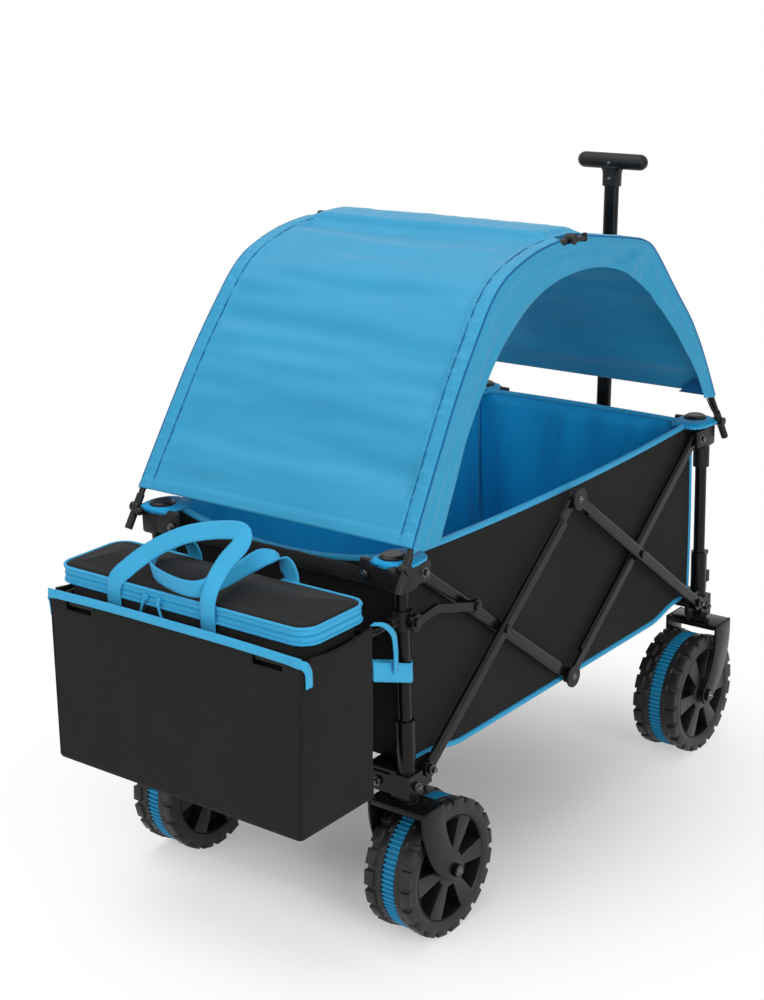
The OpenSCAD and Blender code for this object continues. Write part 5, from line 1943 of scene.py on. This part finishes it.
@dataclass
class Stage:
    """Pale floor, soft light and the photograph's camera, in metres and degrees."""

    # Name, place, power in watts and width in metres of each lamp.
    lamps: tuple[tuple[str, Triple, float, float], ...] = (
        ("overhead softbox", (-0.3, 0.5, 3.0), 40.0, 2.4),
        ("left softbox", (-2.9, 0.5, 1.7), 22.0, 1.8),
        ("right softbox", (-1.2, -2.7, 1.6), 46.0, 1.8),
        ("glow through the canopy", (0.0, 0.0, 0.72), 0.4, 0.3))
    aim: Triple = (0.0, 0.0, 0.45)
    eye: Triple = (-2.15304, -1.62765, 1.38104)
    yaw: float = 38.448
    pitch: float = 17.816
    roll: float = -1.773
    focal: float = 1847.58
    picture_height: float = 1000.0
    sensor: float = 36.0
    fade_from: float = 0.05
    fade_to: float = 0.85
    ambient: float = 0.45

    def camera(self) -> None:
        """Places the camera."""
        yaw, pitch, roll = (math.radians(a) for a in (self.yaw, self.pitch, self.roll))
        ahead = Vector((math.cos(yaw) * math.cos(pitch), math.sin(yaw) * math.cos(pitch),
                        -math.sin(pitch)))
        right = Vector((math.sin(yaw), -math.cos(yaw), 0.0))
        above = right.cross(ahead)
        across = right * math.cos(roll) + above * math.sin(roll)
        up = above * math.cos(roll) - right * math.sin(roll)
        lens = bpy.data.cameras.new("camera")
        lens.sensor_fit, lens.sensor_height = "VERTICAL", self.sensor
        lens.lens = self.focal / self.picture_height * self.sensor
        lens.clip_end = 60.0
        camera = bpy.data.objects.new("camera", lens)
        turn = Matrix((across, up, -ahead)).transposed().to_4x4()
        camera.matrix_world = Matrix.Translation(self.eye) @ turn
        bpy.context.scene.collection.objects.link(camera)
        bpy.context.scene.camera = camera

    def lamp(self, name: str, spot: Triple, power: float, size: float) -> None:
        """Hangs a soft square lamp that faces the wagon's middle.

        Args:
            name: the lamp's name.
            spot: its place.
            power: its power in watts.
            size: its width in metres.
        """
        light = bpy.data.lights.new(name, "AREA")
        light.energy, light.size = power, size
        lamp = bpy.data.objects.new(name, light)
        aim = (Vector(self.aim) - Vector(spot)).to_track_quat("-Z", "Y")
        lamp.matrix_world = Matrix.Translation(spot) @ aim.to_matrix().to_4x4()
        bpy.context.scene.collection.objects.link(lamp)

    def seen(self, tree: Tree) -> Socket:
        """Tells the rays that see a surface from those that only light it.

        Args:
            tree: the node tree that asks.

        Returns:
            A socket that is 1 for camera, mirrored and refracted rays and 0 for the rest.
        """
        ray = put(tree, "ShaderNodeLightPath")
        total = ray.outputs["Is Camera Ray"]
        for kind in ("Is Glossy Ray", "Is Transmission Ray"):
            total = put(tree, "ShaderNodeMath", {0: total, 1: ray.outputs[kind]},
                        operation="MAXIMUM").outputs[0]
        return total

    def floor(self) -> None:
        """Lays a pale floor that fades to plain white away from the wagon."""
        bm = bmesh.new()
        bmesh.ops.create_grid(bm, x_segments=1, y_segments=1, size=20.0)
        mesh = bpy.data.meshes.new("floor")
        bm.to_mesh(mesh)
        bm.free()
        paper = bpy.data.materials.new("matt_white_paper")
        paper.use_nodes = True
        tree = paper.node_tree
        shader, out = tree.nodes["Principled BSDF"], tree.nodes["Material Output"]
        shader.inputs["Base Color"].default_value = linear("#fffefd")
        shader.inputs["Roughness"].default_value = 1.0
        shader.inputs["Specular IOR Level"].default_value = 0.0
        place = put(tree, "ShaderNodeTexCoord")
        spread = put(tree, "ShaderNodeVectorMath", {0: place.outputs["Object"]}, operation="LENGTH")
        fades = put(tree, "ShaderNodeMapRange",
                    {"Value": spread.outputs["Value"], "From Min": self.fade_from,
                     "From Max": self.fade_to}, interpolation_type="SMOOTHSTEP")
        share = put(tree, "ShaderNodeMath", {0: self.seen(tree), 1: fades.outputs[0]},
                    operation="MULTIPLY")
        glow = put(tree, "ShaderNodeEmission", {"Color": (1, 1, 1, 1), "Strength": 1.0})
        mix = put(tree, "ShaderNodeMixShader",
                  {0: share.outputs[0], 1: shader.outputs[0], 2: glow.outputs[0]})
        tree.links.new(mix.outputs[0], out.inputs["Surface"])
        mesh.materials.append(paper)
        floor = bpy.data.objects.new("floor", mesh)
        bpy.context.scene.collection.objects.link(floor)

    def world(self) -> None:
        """Lights the scene evenly and shows white behind it."""
        sky = bpy.data.worlds.new("studio")
        sky.use_nodes = True
        tree = sky.node_tree
        tree.nodes.clear()
        soft = put(tree, "ShaderNodeBackground", {"Color": (1, 1, 1, 1), "Strength": self.ambient})
        white = put(tree, "ShaderNodeBackground", {"Color": (1, 1, 1, 1), "Strength": 1.0})
        mix = put(tree, "ShaderNodeMixShader",
                  {0: self.seen(tree), 1: soft.outputs[0], 2: white.outputs[0]})
        put(tree, "ShaderNodeOutputWorld", {"Surface": mix.outputs[0]})
        bpy.context.scene.world = sky

    def build(self) -> None:
        """Sets the whole stage."""
        bpy.context.scene.view_settings.view_transform = "Standard"
        self.camera()
        self.floor()
        self.world()
        for lamp in self.lamps:
            self.lamp(*lamp)


def main() -> None:
    """Builds the stage and every sub-assembly in order."""
    logging.basicConfig(level=logging.INFO, format="%(message)s")
    palette = Palette()
    Stage().build()
    Chassis(palette).build()
    for end in End:
        for side in Side:
            Wheel(palette, end, side).build()
            Fork(palette, end, side).build()
    Tub(palette).build()
    Canopy(palette).build()
    Basket(palette).build()
    CoolerBag(palette).build()


if __name__ == "__main__":
    main()
